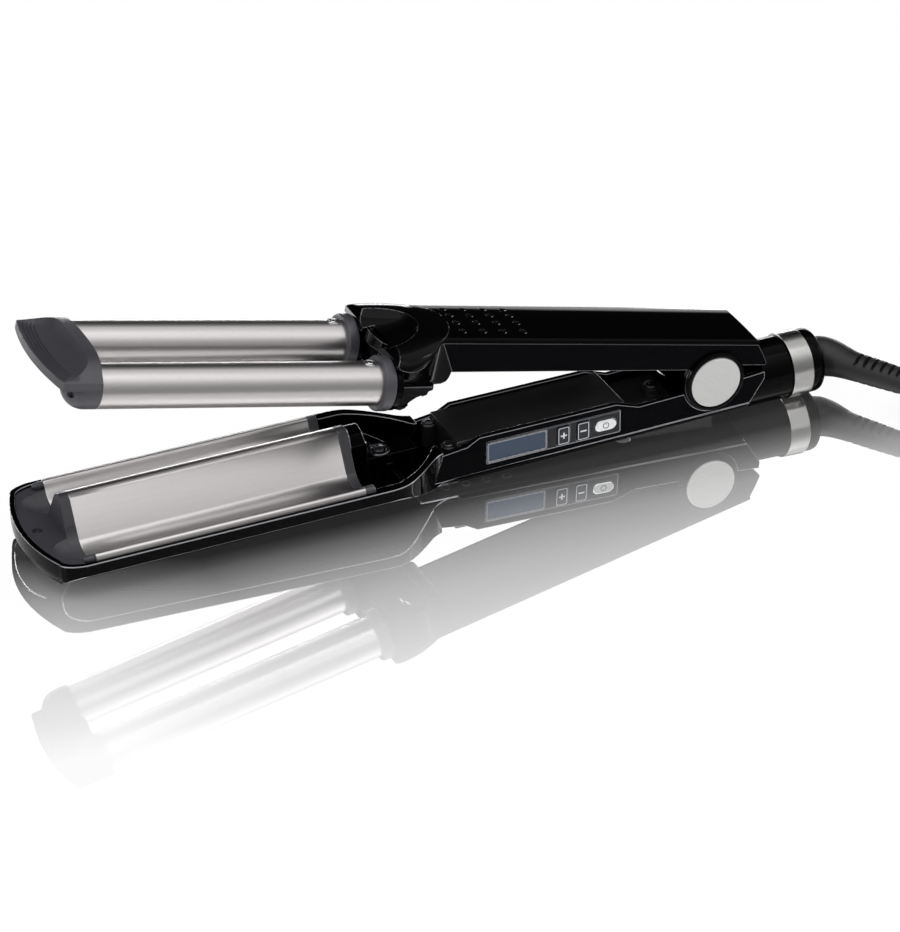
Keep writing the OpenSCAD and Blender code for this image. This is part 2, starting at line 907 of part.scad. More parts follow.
tail_bore_r = 9;
spigot_r = 10.5;
swivel_gap = 0.4;
ring_end_x = ring_x + ring_len;
tail_end_x = ring_end_x + end_len;

module tail_barrel() color("#0f1013") on_lower() {
    difference() {
        union() {
            rod_x(5, ring_x, 0, tail_z, tail_r);
            rod_x(ring_x, ring_end_x, 0, tail_z, spigot_r);
        }
        through(-far_out / 4, far_out / 4)
            polygon([
                [-10, -40], [-10, 20], [tail_line(20), 20], [tail_line(-40), -40]
            ]);
        rod_x(0, ring_end_x + 1, 0, tail_z, tail_bore_r);
    }
}

module tail_ring() color("#c4c2be") on_lower() {
    difference() {
        rod_x(ring_x, ring_end_x, 0, tail_z, ring_r);
        rod_x(ring_x - 1, ring_end_x + 1, 0, tail_z, spigot_r);
    }
}

module end_ring() color("#0f1013") on_lower() {
    difference() {
        rod_x(ring_end_x, tail_end_x, 0, tail_z, end_d / 2);
        rod_x(ring_end_x - 1, tail_end_x + 1, 0, tail_z, neck_d / 2 + neck_gap);
    }
}

module hinge_pin() color("#a9abae") on_lower() {
    rod_y(-side_y - move_gap, side_y + move_gap, 0, 0, pin_d / 2);
}

module hinge_ring(s) color("#0f1013") on_lower() {
    y0 = side_y + move_gap;
    mirror([0, s < 0 ? 1 : 0, 0])
        difference() {
            rod_y(y0, y0 + hinge_ring_t, 0, 0, hinge_ring_d / 2);
            rod_y(y0 - 1, y0 + hinge_ring_t + 1, 0, 0, disc_d / 2);
        }
}

module hinge_disc(s) color("#c9c7c3") on_lower() {
    y0 = side_y + move_gap;
    mirror([0, s < 0 ? 1 : 0, 0])
        rod_y(y0, y0 + hinge_ring_t + disc_proud, 0, 0, disc_d / 2);
}

module hinge_ring_near() {
    hinge_ring(-1);
}

module hinge_ring_far() {
    hinge_ring(1);
}

module hinge_disc_near() {
    hinge_disc(-1);
}

module hinge_disc_far() {
    hinge_disc(1);
}

spring_pitch = spring_wire * 0.92;
spring_r = pin_d / 2 + 0.3 + spring_wire / 2;

spring_valley = 64;
leg_half = 0.4;

function coil_level(i) = (i - (spring_turns - 1) / 2) * spring_pitch;

module hinge_spring() color("#9b9da1") on_lower() {
    rotate([90, 0, 0])
        rotate_extrude($fn = facets)
            polygon(concat(
                [for (i = [0:spring_turns - 1])
                    each arc([spring_r, coil_level(i)], spring_wire / 2, -spring_valley, spring_valley, 4)],
                [for (i = [spring_turns - 1:-1:0])
                    each arc([spring_r, coil_level(i)], spring_wire / 2, 180 - spring_valley,
                        180 + spring_valley, 4)]
            ));
    // one leg bears on the web of the lower frame, the other under the upper cover
    leg_y = coil_level(spring_turns - 1);
    block(
        -spring_r - leg_half, -spring_r + leg_half, -leg_y - leg_half, -leg_y + leg_half,
        lower_seam(-spring_r) + web_t + 0.05, 0
    );
    rotate([0, open_angle, 0])
        block(
            -spring_r - leg_half, -spring_r + leg_half, leg_y - leg_half, leg_y + leg_half,
            0, cover_top - cover_wall - 0.8
        );
}

// ------------------------------------------------------------------ upper arm

function upper_seam(x) = seam_up - x * tan(seam_up_slope);

head_round_r = 18;
head_round_x = upper_front_low_x + 0.5 - head_round_r;

module cover_form(inset, low) {
    rotate([0, seam_up_slope, 0])
        along(upper_front_top_x - 3, 15.4)
            crown_section(cover_top - inset, side_y - inset, low);
}

module upper_cover() color("#0f1013") on_upper() {
    difference() {
        cover_form(0, seam_up);
        intersection() {
            cover_form(cover_wall, 5);
            block(upper_front_low_x + 4, 15.4 - cover_wall, -inner_y, inner_y, 0, wall_top);
        }
        rod_z(0, wall_top, head_round_x, 0, head_round_r);
        for (i = [0:dimple_count - 1], j = [0:dimple_count - 1])
            rotate([0, seam_up_slope, 0])
                translate([
                    dimple_x + i * dimple_step_x, dimple_y(j),
                    crown_z(cover_top, dimple_y(j)) + dimple_r - dimple_depth
                ])
                    sphere(r = dimple_r, $fn = 24);
        translate([15.4, 0, cover_top])
            rotate([0, 38, 0])
                block(-3, 10, -side_y - 1, side_y + 1, -0.6, 10);
    }
}

upper_outline = [
    [upper_front_top_x, upper_seam(upper_front_top_x)],
    [15.4, upper_seam(15.4)], [18.8, 10.4], [upper_rear_x, 7.2], [20.6, 6.1],
    [ear_r * cos(30.6), 6.1], [0, 0], [-ear_r * cos(20.5), upper_under_z],
    [upper_front_low_x, upper_under_z]
];

module upper_frame() color("#22252e") on_upper() {
    difference() {
        union() {
            through(-side_y, side_y)
                polygon(upper_outline);
            for (s = [-1, 1])
                rod_y(min(s * inner_y, s * side_y), max(s * inner_y, s * side_y), 0, 0, ear_r);
        }
        through(-inner_y, inner_y)
            polygon([
                [upper_front_top_x - 2, -20], [upper_front_top_x - 2, wall_top],
                [13.2, wall_top], [13.2, 12.6], [16.6, 9.4], [18.4, 6.8], [18.4, -20]
            ]);
        rod_y(-side_y - 1, side_y + 1, 0, 0, pin_d / 2 + pin_gap);
    }
}

module upper_liner() color("#1b1c20") on_upper() {
    block(
        upper_front_low_x, -ear_r - 1.5, -inner_y, inner_y,
        upper_under_z, upper_under_z + panel_t
    );
}

head_half_plan = [
    [-141, 23.4], [-134, 24], [-129.5, 23], [-125, 20.6], [-121, 17.4],
    [upper_front_top_x, side_y], [upper_front_low_x + 1, side_y]
];

head_half_section = [
    [0, 18.8], [8, 18.4], [13, 17.2], [17.5, 15.2], [21, 12.4], [23.2, 9], [24, 5], [24, -1.6]
];

head_low_z = -1.6;
scoop_r = 19;
scoop_x = -133.6;
scoop_z = 23;

module head_body() {
    intersection() {
        translate([0, 0, head_low_z])
            linear_extrude(wall_top)
                polygon(both_sides(head_half_plan));
        along(-141, upper_front_low_x + 1)
            polygon(both_halves(head_half_section));
        union() {
            through(-far_out / 4, far_out / 4)
                polygon([
                    [-141, head_low_z], [-117.5, head_low_z], [-113.2, 0.6], [upper_front_low_x, upper_under_z],
                    [upper_front_top_x, upper_seam(upper_front_top_x)],
                    [-120, 18.4], [-133, 16.6], [-141, 14.6]
                ]);
            intersection() {
                rod_z(15, wall_top, head_round_x, 0, head_round_r);
                rotate([0, seam_up_slope, 0])
                    block(-123, -105, -side_y, side_y, seam_up, wall_top);
            }
        }
    }
}

module upper_head() color("#101114") on_upper() {
    difference() {
        union() {
            difference() {
                head_body();
                translate([scoop_x, 0, scoop_z])
                    sphere(r = scoop_r, $fn = facets);
                // recesses between the shoulder and the ledge, one on each side
                for (s = [-1, 1])
                    mirror([0, s < 0 ? 1 : 0, 0]) {
                        through(12.2, 30)
                            polygon([
                                [-131.2, 0.6], [-118.2, 0.6], [-115, 3], [-119, 9.4],
                                [-124, 9.8], [-129.2, 9.2], [-131.2, 6]
                            ]);
                        block(-131.2, -105, 17.4, 30, -5, 2);
                        block(-141.5, collar_rear_x, -1, 9, -5, wall_top);
                    }
                block(-142, collar_rear_x, -30, 30, -5, barrel_z);
            }
            for (s = [-1, 1]) {
                rod_x(collar_rear_x, -130.6, s * barrel_y, barrel_z, 9);
                rod_x(collar_rear_x - 5, collar_rear_x, s * barrel_y, barrel_z, barrel_r - 2);
            }
            // the keyed boss that stands in the scoop between the barrels
            intersection() {
                along(-143.4, -119)
                    translate([0, 12.4])
                        circle(r = 4.6, $fn = 8);
                block(-144, -118, -6, 6, 10.8, wall_top);
            }
            block(-133, -122, -3.6, 3.6, 1, 11.4);
        }
        for (s = [-1, 1])
            difference() {
                rod_x(-150, collar_rear_x, s * barrel_y, barrel_z, collar_r + 0.3);
                rod_x(-150, collar_rear_x + 1, s * barrel_y, barrel_z, barrel_r - 2);
            }
    }
}

module barrel(s) color("#9c9892") on_upper() {
    difference() {
        rod_x(barrel_front_x, barrel_rear_x + collar_seat, s * barrel_y, barrel_z, barrel_r);
        rod_x(barrel_front_x - 1, barrel_rear_x + 2, s * barrel_y, barrel_z, barrel_r - barrel_wall);
        rod_z(barrel_z, wall_top, rivet_x, s * barrel_y, rivet_shank_r);
    }
}

module barrel_near() {
    barrel(-1);
}

module barrel_far() {
    barrel(1);
}

heater_front_x = barrel_front_x + 6;

module barrel_heater(s) color("#cfc9ba") on_upper() {
    rod_x(
        heater_front_x, barrel_rear_x + collar_seat, s * barrel_y, barrel_z,
        barrel_r - barrel_wall
    );
}

module barrel_heater_near() {
    barrel_heater(-1);
}

module barrel_heater_far() {
    barrel_heater(1);
}

module collar(s) color("#4f4f55") on_upper() {
    difference() {
        rod_x(barrel_rear_x, collar_rear_x, s * barrel_y, barrel_z, collar_r);
        rod_x(barrel_rear_x - 1, barrel_rear_x + collar_seat, s * barrel_y, barrel_z, barrel_r);
        rod_x(barrel_rear_x, collar_rear_x + 1, s * barrel_y, barrel_z, barrel_r - 2);
    }
}

module collar_near() {
    collar(-1);
}

module collar_far() {
    collar(1);
}

rivet_x = barrel_rear_x - 3.5;
rivet_shank_r = 1.2;
rivet_rise = 0.5;

module rivet(s) color("#d2d2d2") on_upper() {
    difference() {
        union() {
            rod_z(
                barrel_z + barrel_r - 0.6, barrel_z + barrel_r + rivet_rise,
                rivet_x, s * barrel_y, rivet_d / 2
            );
        }
        rod_x(rivet_x - 5, rivet_x + 5, s * barrel_y, barrel_z, barrel_r);
    }
    intersection() {
        rod_z(barrel_z, barrel_z + barrel_r + rivet_rise, rivet_x, s * barrel_y, rivet_shank_r);
        difference() {
            block(rivet_x - 2, rivet_x + 2, s * barrel_y - 2, s * barrel_y + 2, barrel_z, wall_top);
            rod_x(rivet_x - 5, rivet_x + 5, s * barrel_y, barrel_z, barrel_r - barrel_wall);
        }
    }
}

module rivet_near() {
    rivet(-1);
}

module rivet_far() {
    rivet(1);
}

// ------------------------------------------------------------------ tip guard

guard_bow_r = 99;
guard_rear_x = barrel_front_x + 5.9;
guard_half_section = [
    [0, guard_crest_z], [8, guard_crest_z - 0.1], [14, guard_crest_z - 0.6],
    [18, guard_crest_z - 1.5], [guard_half - 2.6, guard_crest_z - 3.4],
    [guard_half - 0.2, guard_crest_z - 6.4], [guard_half, guard_under_z]
];
guard_lip_z = guard_under_z + guard_front_h;
scoop_centre = [bow_x + 8.6, guard_lip_z + 14.6];

module guard_plate() {
    intersection() {
        translate([0, 0, guard_under_z])
            linear_extrude(wall_top)
                intersection() {
                    translate([bow_x + guard_bow_r, 0])
                        circle(r = guard_bow_r, $fn = facets * 4);
                    polygon(both_sides([
                        [bow_x - 1, guard_half - 1.2], [bow_x + 5, guard_half],
                        [guard_rear_x - 5.1, guard_half], [guard_rear_x - 2.5, guard_half - 2.2],
                        [guard_rear_x, guard_half - 6]
                    ]));
                }
        along(bow_x - 1, guard_rear_x)
            polygon(both_halves(guard_half_section));
        through(-far_out / 4, far_out / 4)
            polygon(concat(
                [
                    [bow_x - 1, guard_under_z], [bow_x - 1, guard_lip_z - 0.4], [bow_x + 1, guard_lip_z + 0.2],
                    [bow_x + 4.6, guard_lip_z + 0.5]
                ],
                arc(scoop_centre, 14.4, 262, 311, 8),
                [[guard_rear_x - 4.1, guard_crest_z], [guard_rear_x - 2.3, guard_crest_z - 0.4],
                    [guard_rear_x, guard_crest_z - 2.4], [guard_rear_x, guard_under_z]]
            ));
    }
}

ridge_count = 4;
ridge_step = 1.3;

cap_len = 4;
plug_len = 4;

// the round end of a barrel, with the plug that fits inside the tube
module barrel_cap(s) {
    translate([barrel_front_x - cap_len, s * barrel_y, barrel_z])
        rotate([0, 90, 0])
            rotate_extrude($fn = facets)
                polygon(concat(
                    [[0, cap_len + plug_len], [0, -barrel_r]],
                    arc([0, 0], barrel_r, 278, 360, 10),
                    [[barrel_r, cap_len], [barrel_r - barrel_wall, cap_len],
                        [barrel_r - barrel_wall, cap_len + plug_len]]
                ));
}

module tip_guard() color("#5a5a60") on_upper() {
    difference() {
        union() {
            difference() {
                guard_plate();
                for (s = [-1, 1])
                    rod_x(barrel_front_x, barrel_rear_x, s * barrel_y, barrel_z, barrel_r);
            }
            for (s = [-1, 1])
                barrel_cap(s);
        }
        // room for the crest of the plate when the arm is closed
        crest_end(0.8, guard_under_z - 8);
        along(guard_pivot_x, guard_rear_x + 1)
            polygon(both_halves(concat(
                arc(crest_c, crest_r + 0.8, 90, wave_turn, 8),
                [[8, -3], [0, -3]]
            )));
        for (i = [0:ridge_count - 1])
            translate([bow_x + guard_bow_r + 1.2 + i * ridge_step, 0, guard_lip_z + 0.6 - ridge_depth])
                difference() {
                    cylinder(h = 5, r = guard_bow_r - 0.25, $fn = facets * 4);
                    translate([0, 0, -1])
                        cylinder(h = 8, r = guard_bow_r - 0.75, $fn = facets * 4);
                    block(11 - guard_bow_r, far_out, -far_out, far_out, -1, 8);
                }
    }
}

// ------------------------------------------------------------------ swivel, cord and plug

module swivel_core() color("#1a1b1e") on_lower() {
    rod_x(ring_end_x - 8, ring_end_x - 0.3, 0, tail_z, tail_bore_r - swivel_gap);
    rod_x(ring_end_x - 0.3, tail_end_x + 0.3, 0, tail_z, neck_d / 2);
}

// the elbow leaves along the tail's axis and turns level towards -Y
elbow_x = tail_end_x + 0.3;
elbow_path = [
    [elbow_x, 0], [elbow_x + 1.8, 0], [elbow_x + 4, -0.6], [elbow_x + 6, -2.2], [elbow_x + 7.8, -4.8],
    [elbow_x + 9.4, -8], [elbow_x + 11.2, -11.6], [elbow_x + 14, -16.2], [elbow_x + 17, -21],
    [elbow_x + 20, -25.8], [elbow_x + 22.8, -30.3], [elbow_x + 25.6, -34.8]
];
elbow_r = [8, 8, 7.8, 7.3, 6.7, 6.1, 5.6, 5.4, 5.3, 5.1, 4.9, 4.6];

module strain_relief() color("#1d1e22") on_lower() {
    difference() {
        swept_tube([for (p = elbow_path) [p[0], p[1], tail_z]], elbow_r, 16);
        block(elbow_x - 5, elbow_x, -20, 20, tail_z - 20, tail_z + 20);
    }
}

elbow_last = elbow_path[len(elbow_path) - 1];

// the cord from the strain relief down to the coil, on the resting surface
cord_path = [
    to_row([elbow_last[0], elbow_last[1], tail_z]),
    [273.2, -39.9, 13.6], [276.4, -45, 13.5], [279.6, -49.5, 12.6], [283.2, -53.5, 10.9],
    [287.2, -57.1, 8.6], [291.6, -60.4, 6.4], [296.2, -63.3, 4.5], [301.1, -66, 3.4]
];

// the unused length, wound into a round coil four layers high
coil_r = 37;
coil_x = 332;
coil_y = -30;
coil_wide = 3.5 * cord_d;
coil_high = 4 * cord_d;
tie_angle = 110;
tie_w = 12;
tie_t = 0.8;

// the cord's last stretch, from the top of the coil to the plug that lies on it
end_path = [
    [299.1, -61, 26.4], [306, -67, 27.4], [314, -71.5, 28.5], [322.8, -74.3, 29.6], [331.9, -75.2, 30.6],
    [341, -74.3, 31.5], [349.5, -70.8, 32.3], [356.3, -64.6, 32.9], [360.6, -56.6, 33.2],
    [362, -48, 33.3], [362, -45, 33.3]
];
plug_w = 35;
plug_t = 13.8;
plug_x = 362;
plug_y = -45;
plug_z = coil_high + plug_t / 2;
stub_len = 7;
plug_front_len = 43;
pin_spacing = 18.4;
pin_len = 19;
pin_r = 2;

module cord_tube() color("#141417") {
    swept_tube(cord_path, [for (p = cord_path) cord_d / 2], 12);
}

module cord_coil() color("#141417") {
    translate([coil_x, coil_y, 0])
        difference() {
            rotate_extrude($fn = facets)
                translate([coil_r - coil_wide / 2, 0])
                    square([coil_wide, coil_high]);
            rotate([0, 0, tie_angle])
                block(coil_r / 2, 2 * coil_r, -tie_w / 2, tie_w / 2, -1, tie_t);
        }
}

module cord_tie() color("#101012") {
    chord_in = sqrt(pow(coil_r - coil_wide / 2, 2) - pow(tie_w / 2, 2));
    translate([coil_x, coil_y, 0])
        rotate([0, 0, tie_angle])
            difference() {
                block(
                    chord_in - tie_t, coil_r + coil_wide / 2 + tie_t, -tie_w / 2, tie_w / 2,
                    0, coil_high + tie_t
                );
                block(
                    chord_in, coil_r + coil_wide / 2, -tie_w, tie_w,
                    tie_t, coil_high
                );
            }
}

module cord_end() color("#141417") {
    swept_tube(end_path, [for (p = end_path) cord_d / 2], 12);
}

module plug_body() color("#17171a") {
    translate([plug_x, plug_y, plug_z]) {
        hull() {
            translate([0, stub_len, 0])
                rotate([-90, 0, 0])
                    cylinder(h = 1, r = 5.5, $fn = 32);
            for (s = [-1, 1])
                translate([s * (plug_w - plug_t) / 2, plug_front_len - 14, 0])
                    rotate([-90, 0, 0])
                        cylinder(h = 14, r = plug_t / 2, $fn = 32);
        }
        rotate([-90, 0, 0])
            cylinder(h = stub_len + 1, r = 4.6, $fn = 32);
    }
}

module plug_pins() color("#c8c8c8") {
    for (s = [-1, 1])
        translate([plug_x + s * pin_spacing / 2, plug_y + plug_front_len, plug_z])
            rotate([-90, 0, 0])
                cylinder(h = pin_len, r = pin_r, $fn = 32);
}

lower_shell();
lower_frame();
inner_deck();
control_panel();
display_bezel();
display_window();
button_plus();
button_minus();
button_power();
circuit_board();
switch_block();
display_module();
board_post();
deck_screw();
neck_screw_near();
neck_screw_far();
neck_bracket();
bracket_screw();
shell_screw_front();
shell_screw_rear();
wave_plate();
plate_carrier();
plate_heater();
plate_cushion_front();
plate_cushion_rear();
end_strip();
crest_flange();
tip_insert();
tray_screw();
tail_barrel();
tail_ring();
end_ring();
hinge_pin();
hinge_ring_near();
hinge_ring_far();
hinge_disc_near();
hinge_disc_far();
hinge_spring();
upper_cover();
upper_frame();
upper_liner();
upper_head();
barrel_near();
barrel_far();
barrel_heater_near();
barrel_heater_far();
collar_near();
collar_far();
rivet_near();
rivet_far();
tip_guard();
swivel_core();
strain_relief();
cord_tube();
cord_coil();
cord_tie();
cord_end();
plug_body();
plug_pins();
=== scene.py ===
import math

import bpy
from bpy.props import FloatProperty, FloatVectorProperty, IntProperty, PointerProperty
from mathutils import Matrix, Vector


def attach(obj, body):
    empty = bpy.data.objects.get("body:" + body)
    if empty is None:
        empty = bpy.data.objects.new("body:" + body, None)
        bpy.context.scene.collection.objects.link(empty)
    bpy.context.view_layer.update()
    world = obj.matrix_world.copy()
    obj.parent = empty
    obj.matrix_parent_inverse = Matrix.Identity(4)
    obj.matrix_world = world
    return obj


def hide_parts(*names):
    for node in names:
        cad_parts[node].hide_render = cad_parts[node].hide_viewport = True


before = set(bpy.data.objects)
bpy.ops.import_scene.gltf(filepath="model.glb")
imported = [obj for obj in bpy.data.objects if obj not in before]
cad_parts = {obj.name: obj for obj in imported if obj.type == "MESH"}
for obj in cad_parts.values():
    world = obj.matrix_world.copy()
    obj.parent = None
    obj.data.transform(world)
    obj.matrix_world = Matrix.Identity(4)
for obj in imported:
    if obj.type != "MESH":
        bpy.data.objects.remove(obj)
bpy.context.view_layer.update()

bl_info = {
    "name": "Hair Waver",
    "version": (1, 0, 0),
    "blender": (4, 5, 0),
    "location": "View3D > Sidebar > Hair Waver",
    "description": "Builds a hair waver with two barrels over a waved plate",
    "category": "Object",
}

MM = 0.001

# Both arms are drawn in millimetres with the hinge axis at zero and the tip at -X, then laid down.
HINGE = Vector((0.195, 0.0, 0.0219978))
REST_PITCH = math.radians(1.3)
OPEN_ANGLE = math.radians(13.5)
ROW = Matrix.Scale(MM, 4)
LOWER = Matrix.Translation(HINGE) @ Matrix.Rotation(-REST_PITCH, 4, "Y") @ ROW
UPPER = LOWER @ Matrix.Rotation(OPEN_ANGLE, 4, "Y")


# ------------------------------------------------------------------ sizes and colours


def length(name, text, value):
    return FloatProperty(name=name, description=text, default=value * MM, unit="LENGTH", precision=4)


def colour(name, text, value):
    return FloatVectorProperty(
        name=name, description=text, default=value, subtype="COLOR", size=3, min=0.0, max=1.0
    )


class WaverSizes(bpy.types.PropertyGroup):
    barrel_radius: length("Barrel radius", "Radius of each heated barrel", 8.0)
    barrel_offset: length("Barrel offset", "Distance of a barrel axis from the middle", 16.5)
    barrel_height: length("Barrel height", "Height of the barrel axes above the hinge line", 1.5)
    collar_radius: length("Collar radius", "Radius of the collar behind each barrel", 10.0)
    handle_half: length("Handle half width", "Half the width across the handle's sides", 14.1)
    # the rounded edge gets a lighter finish, a painted highlight
    rim_bevel: length("Rim bevel", "Width of the polished edge on the black mouldings", 0.35)
    dimple_radius: length("Dimple radius", "Radius of the ball that forms a grip dimple", 2.4)
    dimple_depth: length("Dimple depth", "Depth of a grip dimple", 0.5)
    dimple_count: IntProperty(
        name="Dimple count", description="Number of grip dimples each way", default=4, min=1, max=6
    )
    cord_diameter: length("Cord diameter", "Diameter of the mains cord", 6.6)
    coil_radius: length("Coil radius", "Radius at the middle of the coil's turns", 37.0)


class WaverColours(bpy.types.PropertyGroup):
    gloss_black: colour("Gloss black", "Polished black plastic", (0.0015, 0.0015, 0.0018))
    band_black: colour("Band black", "Side band of the upper handle", (0.0024, 0.0025, 0.0033))
    satin_black: colour("Satin black", "Matt black plastic", (0.012, 0.012, 0.013))
    dark_grey: colour("Dark grey", "Tip guard, collars and insert", (0.058, 0.057, 0.068))
    titanium: colour("Titanium", "Coated barrels and waved plate", (0.53, 0.508, 0.505))
    brushed: colour("Brushed metal", "Hinge disc and tail ring", (0.55, 0.545, 0.53))
    rubber: colour("Rubber", "Cord and strain relief", (0.010, 0.010, 0.011))
    glass: colour("Display glass", "Unlit display", (0.040, 0.066, 0.115))
    floor: colour("Floor", "Studio floor", (0.92, 0.92, 0.92))


def sizes():
    return bpy.context.scene.waver_sizes


def colours():
    return bpy.context.scene.waver_colours


def mm(value):
    """A stored size in millimetres."""
    return value / MM


# ------------------------------------------------------------------ shader maths


class Value:
    """A socket of a node, with arithmetic that adds Math nodes."""

    def __init__(self, shader, socket):
        self.shader, self.socket = shader, socket

    def _with(self, operation, a, b=None):
        inputs = {0: a} if b is None else {0: a, 1: b}
        return self.shader.node("ShaderNodeMath", {"operation": operation}, inputs)

    def __add__(self, other):
        return self._with("ADD", self, other)

    def __radd__(self, other):
        return self._with("ADD", other, self)

    def __sub__(self, other):
        return self._with("SUBTRACT", self, other)

    def __mul__(self, other):
        return self._with("MULTIPLY", self, other)

    def root(self):
        return self._with("SQRT", self)


class Finish:
    """A material with one Principled shader and the nodes that feed it."""

    def __init__(self, name, base, roughness=0.5, **constants):
        self.material = bpy.data.materials.new(name)
        self.material.use_nodes = True
        self.tree = self.material.node_tree
        self.shader = self.tree.nodes["Principled BSDF"]
        self.set("Base Color", (*base, 1.0) if isinstance(base, (tuple, list)) else base)
        self.set("Roughness", roughness)
        for socket, value in constants.items():
            self.set(socket.replace("_", " "), value)

    def set(self, name, value):
        self.feed(self.shader.inputs[name], value)

    def feed(self, socket, value):
        if isinstance(value, Value):
            self.tree.links.new(value.socket, socket)
        else:
            socket.default_value = value

    def node(self, kind, settings=None, inputs=None, output=0):
        """A node of that kind, with its settings made first and then its sockets."""
        made = self.tree.nodes.new(kind)
        for name, value in (settings or {}).items():
            if name == "stops":
                ramp = made.color_ramp
                while len(ramp.elements) < len(value):
                    ramp.elements.new(0.5)
                for element, (place, shade) in zip(ramp.elements, value):
                    element.position = place
                    element.color = (shade, shade, shade, 1.0)
            else:
                setattr(made, name, value)
        for name, value in (inputs or {}).items():
            self.feed(made.inputs[name], value)
        return Value(self, made.outputs[output])

    def place(self, scale=(1, 1, 1), turn=(0, 0, 0), centre=(0, 0, 0)):
        """Object coordinates, seen from a centre, turned and scaled."""
        at = self.node("ShaderNodeTexCoord", output="Object")
        return self.node(
            "ShaderNodeMapping", {"vector_type": "TEXTURE"},
            {"Vector": at, "Location": centre, "Rotation": turn, "Scale": [1 / s for s in scale]},
        )

    def noise(self, scale, detail=2.0, vector=None, roughness=0.5):
        vector = vector or self.place()
        return self.node(
            "ShaderNodeTexNoise", {},
            {"Vector": vector, "Scale": scale, "Detail": detail, "Roughness": roughness},
        )

    def split(self, vector):
        made = self.tree.nodes.new("ShaderNodeSeparateXYZ")
        self.feed(made.inputs[0], vector)
        return [Value(self, made.outputs[i]) for i in range(3)]

    def blend(self, factor, a, b):
        """A colour between a and b."""
        a, b = [(*c, 1.0) if isinstance(c, (tuple, list)) and len(c) == 3 else c for c in (a, b)]
        made = self.tree.nodes.new("ShaderNodeMix")
        made.data_type = "RGBA"
        self.feed(made.inputs[0], factor)
        self.feed(made.inputs[6], a)
        self.feed(made.inputs[7], b)
        return Value(self, made.outputs[2])

    def bump(self, height, distance, strength=1.0):
        normal = self.node(
            "ShaderNodeBump", {}, {"Height": height, "Distance": distance, "Strength": strength}
        )
        self.set("Normal", normal)
        return self

    def stops(self, value, *pairs):
        return self.node("ShaderNodeValToRGB", {"stops": pairs}, {"Fac": value})


# moulded plastics: colour, roughness, scale and depth of the grain, level of the gloss
MOULDED = {
    "gloss_black": ("gloss_black", 0.045, 400.0, 0.0, 0.05),
    "head_black": ("gloss_black", 0.06, 400.0, 0.0, 0.09),
    "band_black": ("band_black", 0.12, 3000.0, 0.000002, 0.02),
    "arm_black": ("band_black", 0.12, 3000.0, 0.000002, 0.02),
    "satin_black": ("satin_black", 0.42, 4200.0, 0.00001, 0.35),
    "deck_black": ((0.020, 0.0205, 0.022), 0.3, 3800.0, 0.00001, 0.4),
    "panel_black": ((0.006, 0.007, 0.011), 0.08, 900.0, 0.0, 0.3),
    "dark_grey": ("dark_grey", 0.4, 3600.0, 0.00002, 0.55),
    "rubber": ("rubber", 0.5, 5200.0, 0.000015, 0.45),
    "cord_black": ("rubber", 0.46, 2600.0, 0.00002, 0.45),
    # glint: a light grey painted on the dimples' far walls, a painted highlight
    "glint": ((0.62, 0.62, 0.64), 0.25, 3000.0, 0.000002, 0.5),
    "key_navy": ((0.010, 0.014, 0.026), 0.22, 3000.0, 0.000004, 0.4),
    "rubber_red": ((0.12, 0.035, 0.025), 0.6, 3000.0, 0.00002, 0.4),
    "switch_white": ((0.6, 0.6, 0.57), 0.4, 3000.0, 0.00001, 0.5),
    "module_grey": ((0.3, 0.33, 0.3), 0.4, 3000.0, 0.00001, 0.5),
    "board_green": ((0.014, 0.10, 0.05), 0.4, 900.0, 0.00002, 0.5),
}
# the large polished mouldings also have a slow ripple
RIPPLED = ("gloss_black", "head_black")
# bare metals, and the lighter metals painted on rounded edges as painted highlights: colour and roughness
POLISHED = {
    "edge_black": ((0.30, 0.30, 0.32), 0.22),
    "edge_dim": ((0.10, 0.10, 0.11), 0.25),
    "edge_satin": ((0.16, 0.16, 0.17), 0.3),
    "edge_grey": ((0.13, 0.13, 0.145), 0.4),
    "chrome": ((0.78, 0.79, 0.80), 0.12),
    "steel": ((0.56, 0.56, 0.57), 0.24),
    "dark_screw": ((0.16, 0.16, 0.17), 0.34),
    "bezel_silver": ((0.24, 0.25, 0.27), 0.28),
    "mark_silver": ((0.72, 0.73, 0.76), 0.35),
    "heater_metal": ((0.52, 0.50, 0.45), 0.45),
}
FINISHES = {}


def finish(name):
    """The material of that name, made when it is first asked for."""
    if name not in FINISHES:
        if name in MOULDED:
            made = moulded(name, *MOULDED[name])
        elif name in POLISHED:
            made = polished(name, *POLISHED[name])
        else:
            made = SPECIAL[name]()
        FINISHES[name] = made.material
    return FINISHES[name]


def shaded(base, low, high):
    """Two shades of one colour."""
    return tuple(c * low for c in base), tuple(min(c * high, 1.0) for c in base)


def moulded(name, base, roughness, grain, depth, level):
    """Moulded plastic: a faint mottle in colour and gloss, and a fine grain."""
    base = tuple(getattr(colours(), base)) if isinstance(base, str) else base
    made = Finish(name, base, roughness, **{"Specular IOR Level": level})
    cloud = made.noise(55.0, 3.0)
    made.set("Base Color", made.blend(cloud, *shaded(base, 0.8, 1.25)))
    made.set("Roughness", roughness * 0.85 + cloud * (roughness * 0.3))
    if depth:
        made.bump(made.noise(grain, 2.0), depth)
    if name in RIPPLED:
        made.bump(made.noise(26.0, 1.0), 0.00003)
    return made


def titanium():
    """Satin coating with very fine lines along the barrel and a fine sparkle."""
    base = tuple(colours().titanium)
    made = Finish("titanium", base, 0.3, Metallic=1.0)
    lines = made.noise(1.0, 3.0, made.place(scale=(60, 2600, 2600)))
    grain = made.noise(5200.0, 2.0)
    made.set("Base Color", made.blend(lines * 0.5 + grain * 0.5, *shaded(base, 0.82, 1.14)))
    made.set("Roughness", 0.25 + grain * 0.1)
    return made.bump(lines * 0.6 + grain * 0.4, 0.000004)


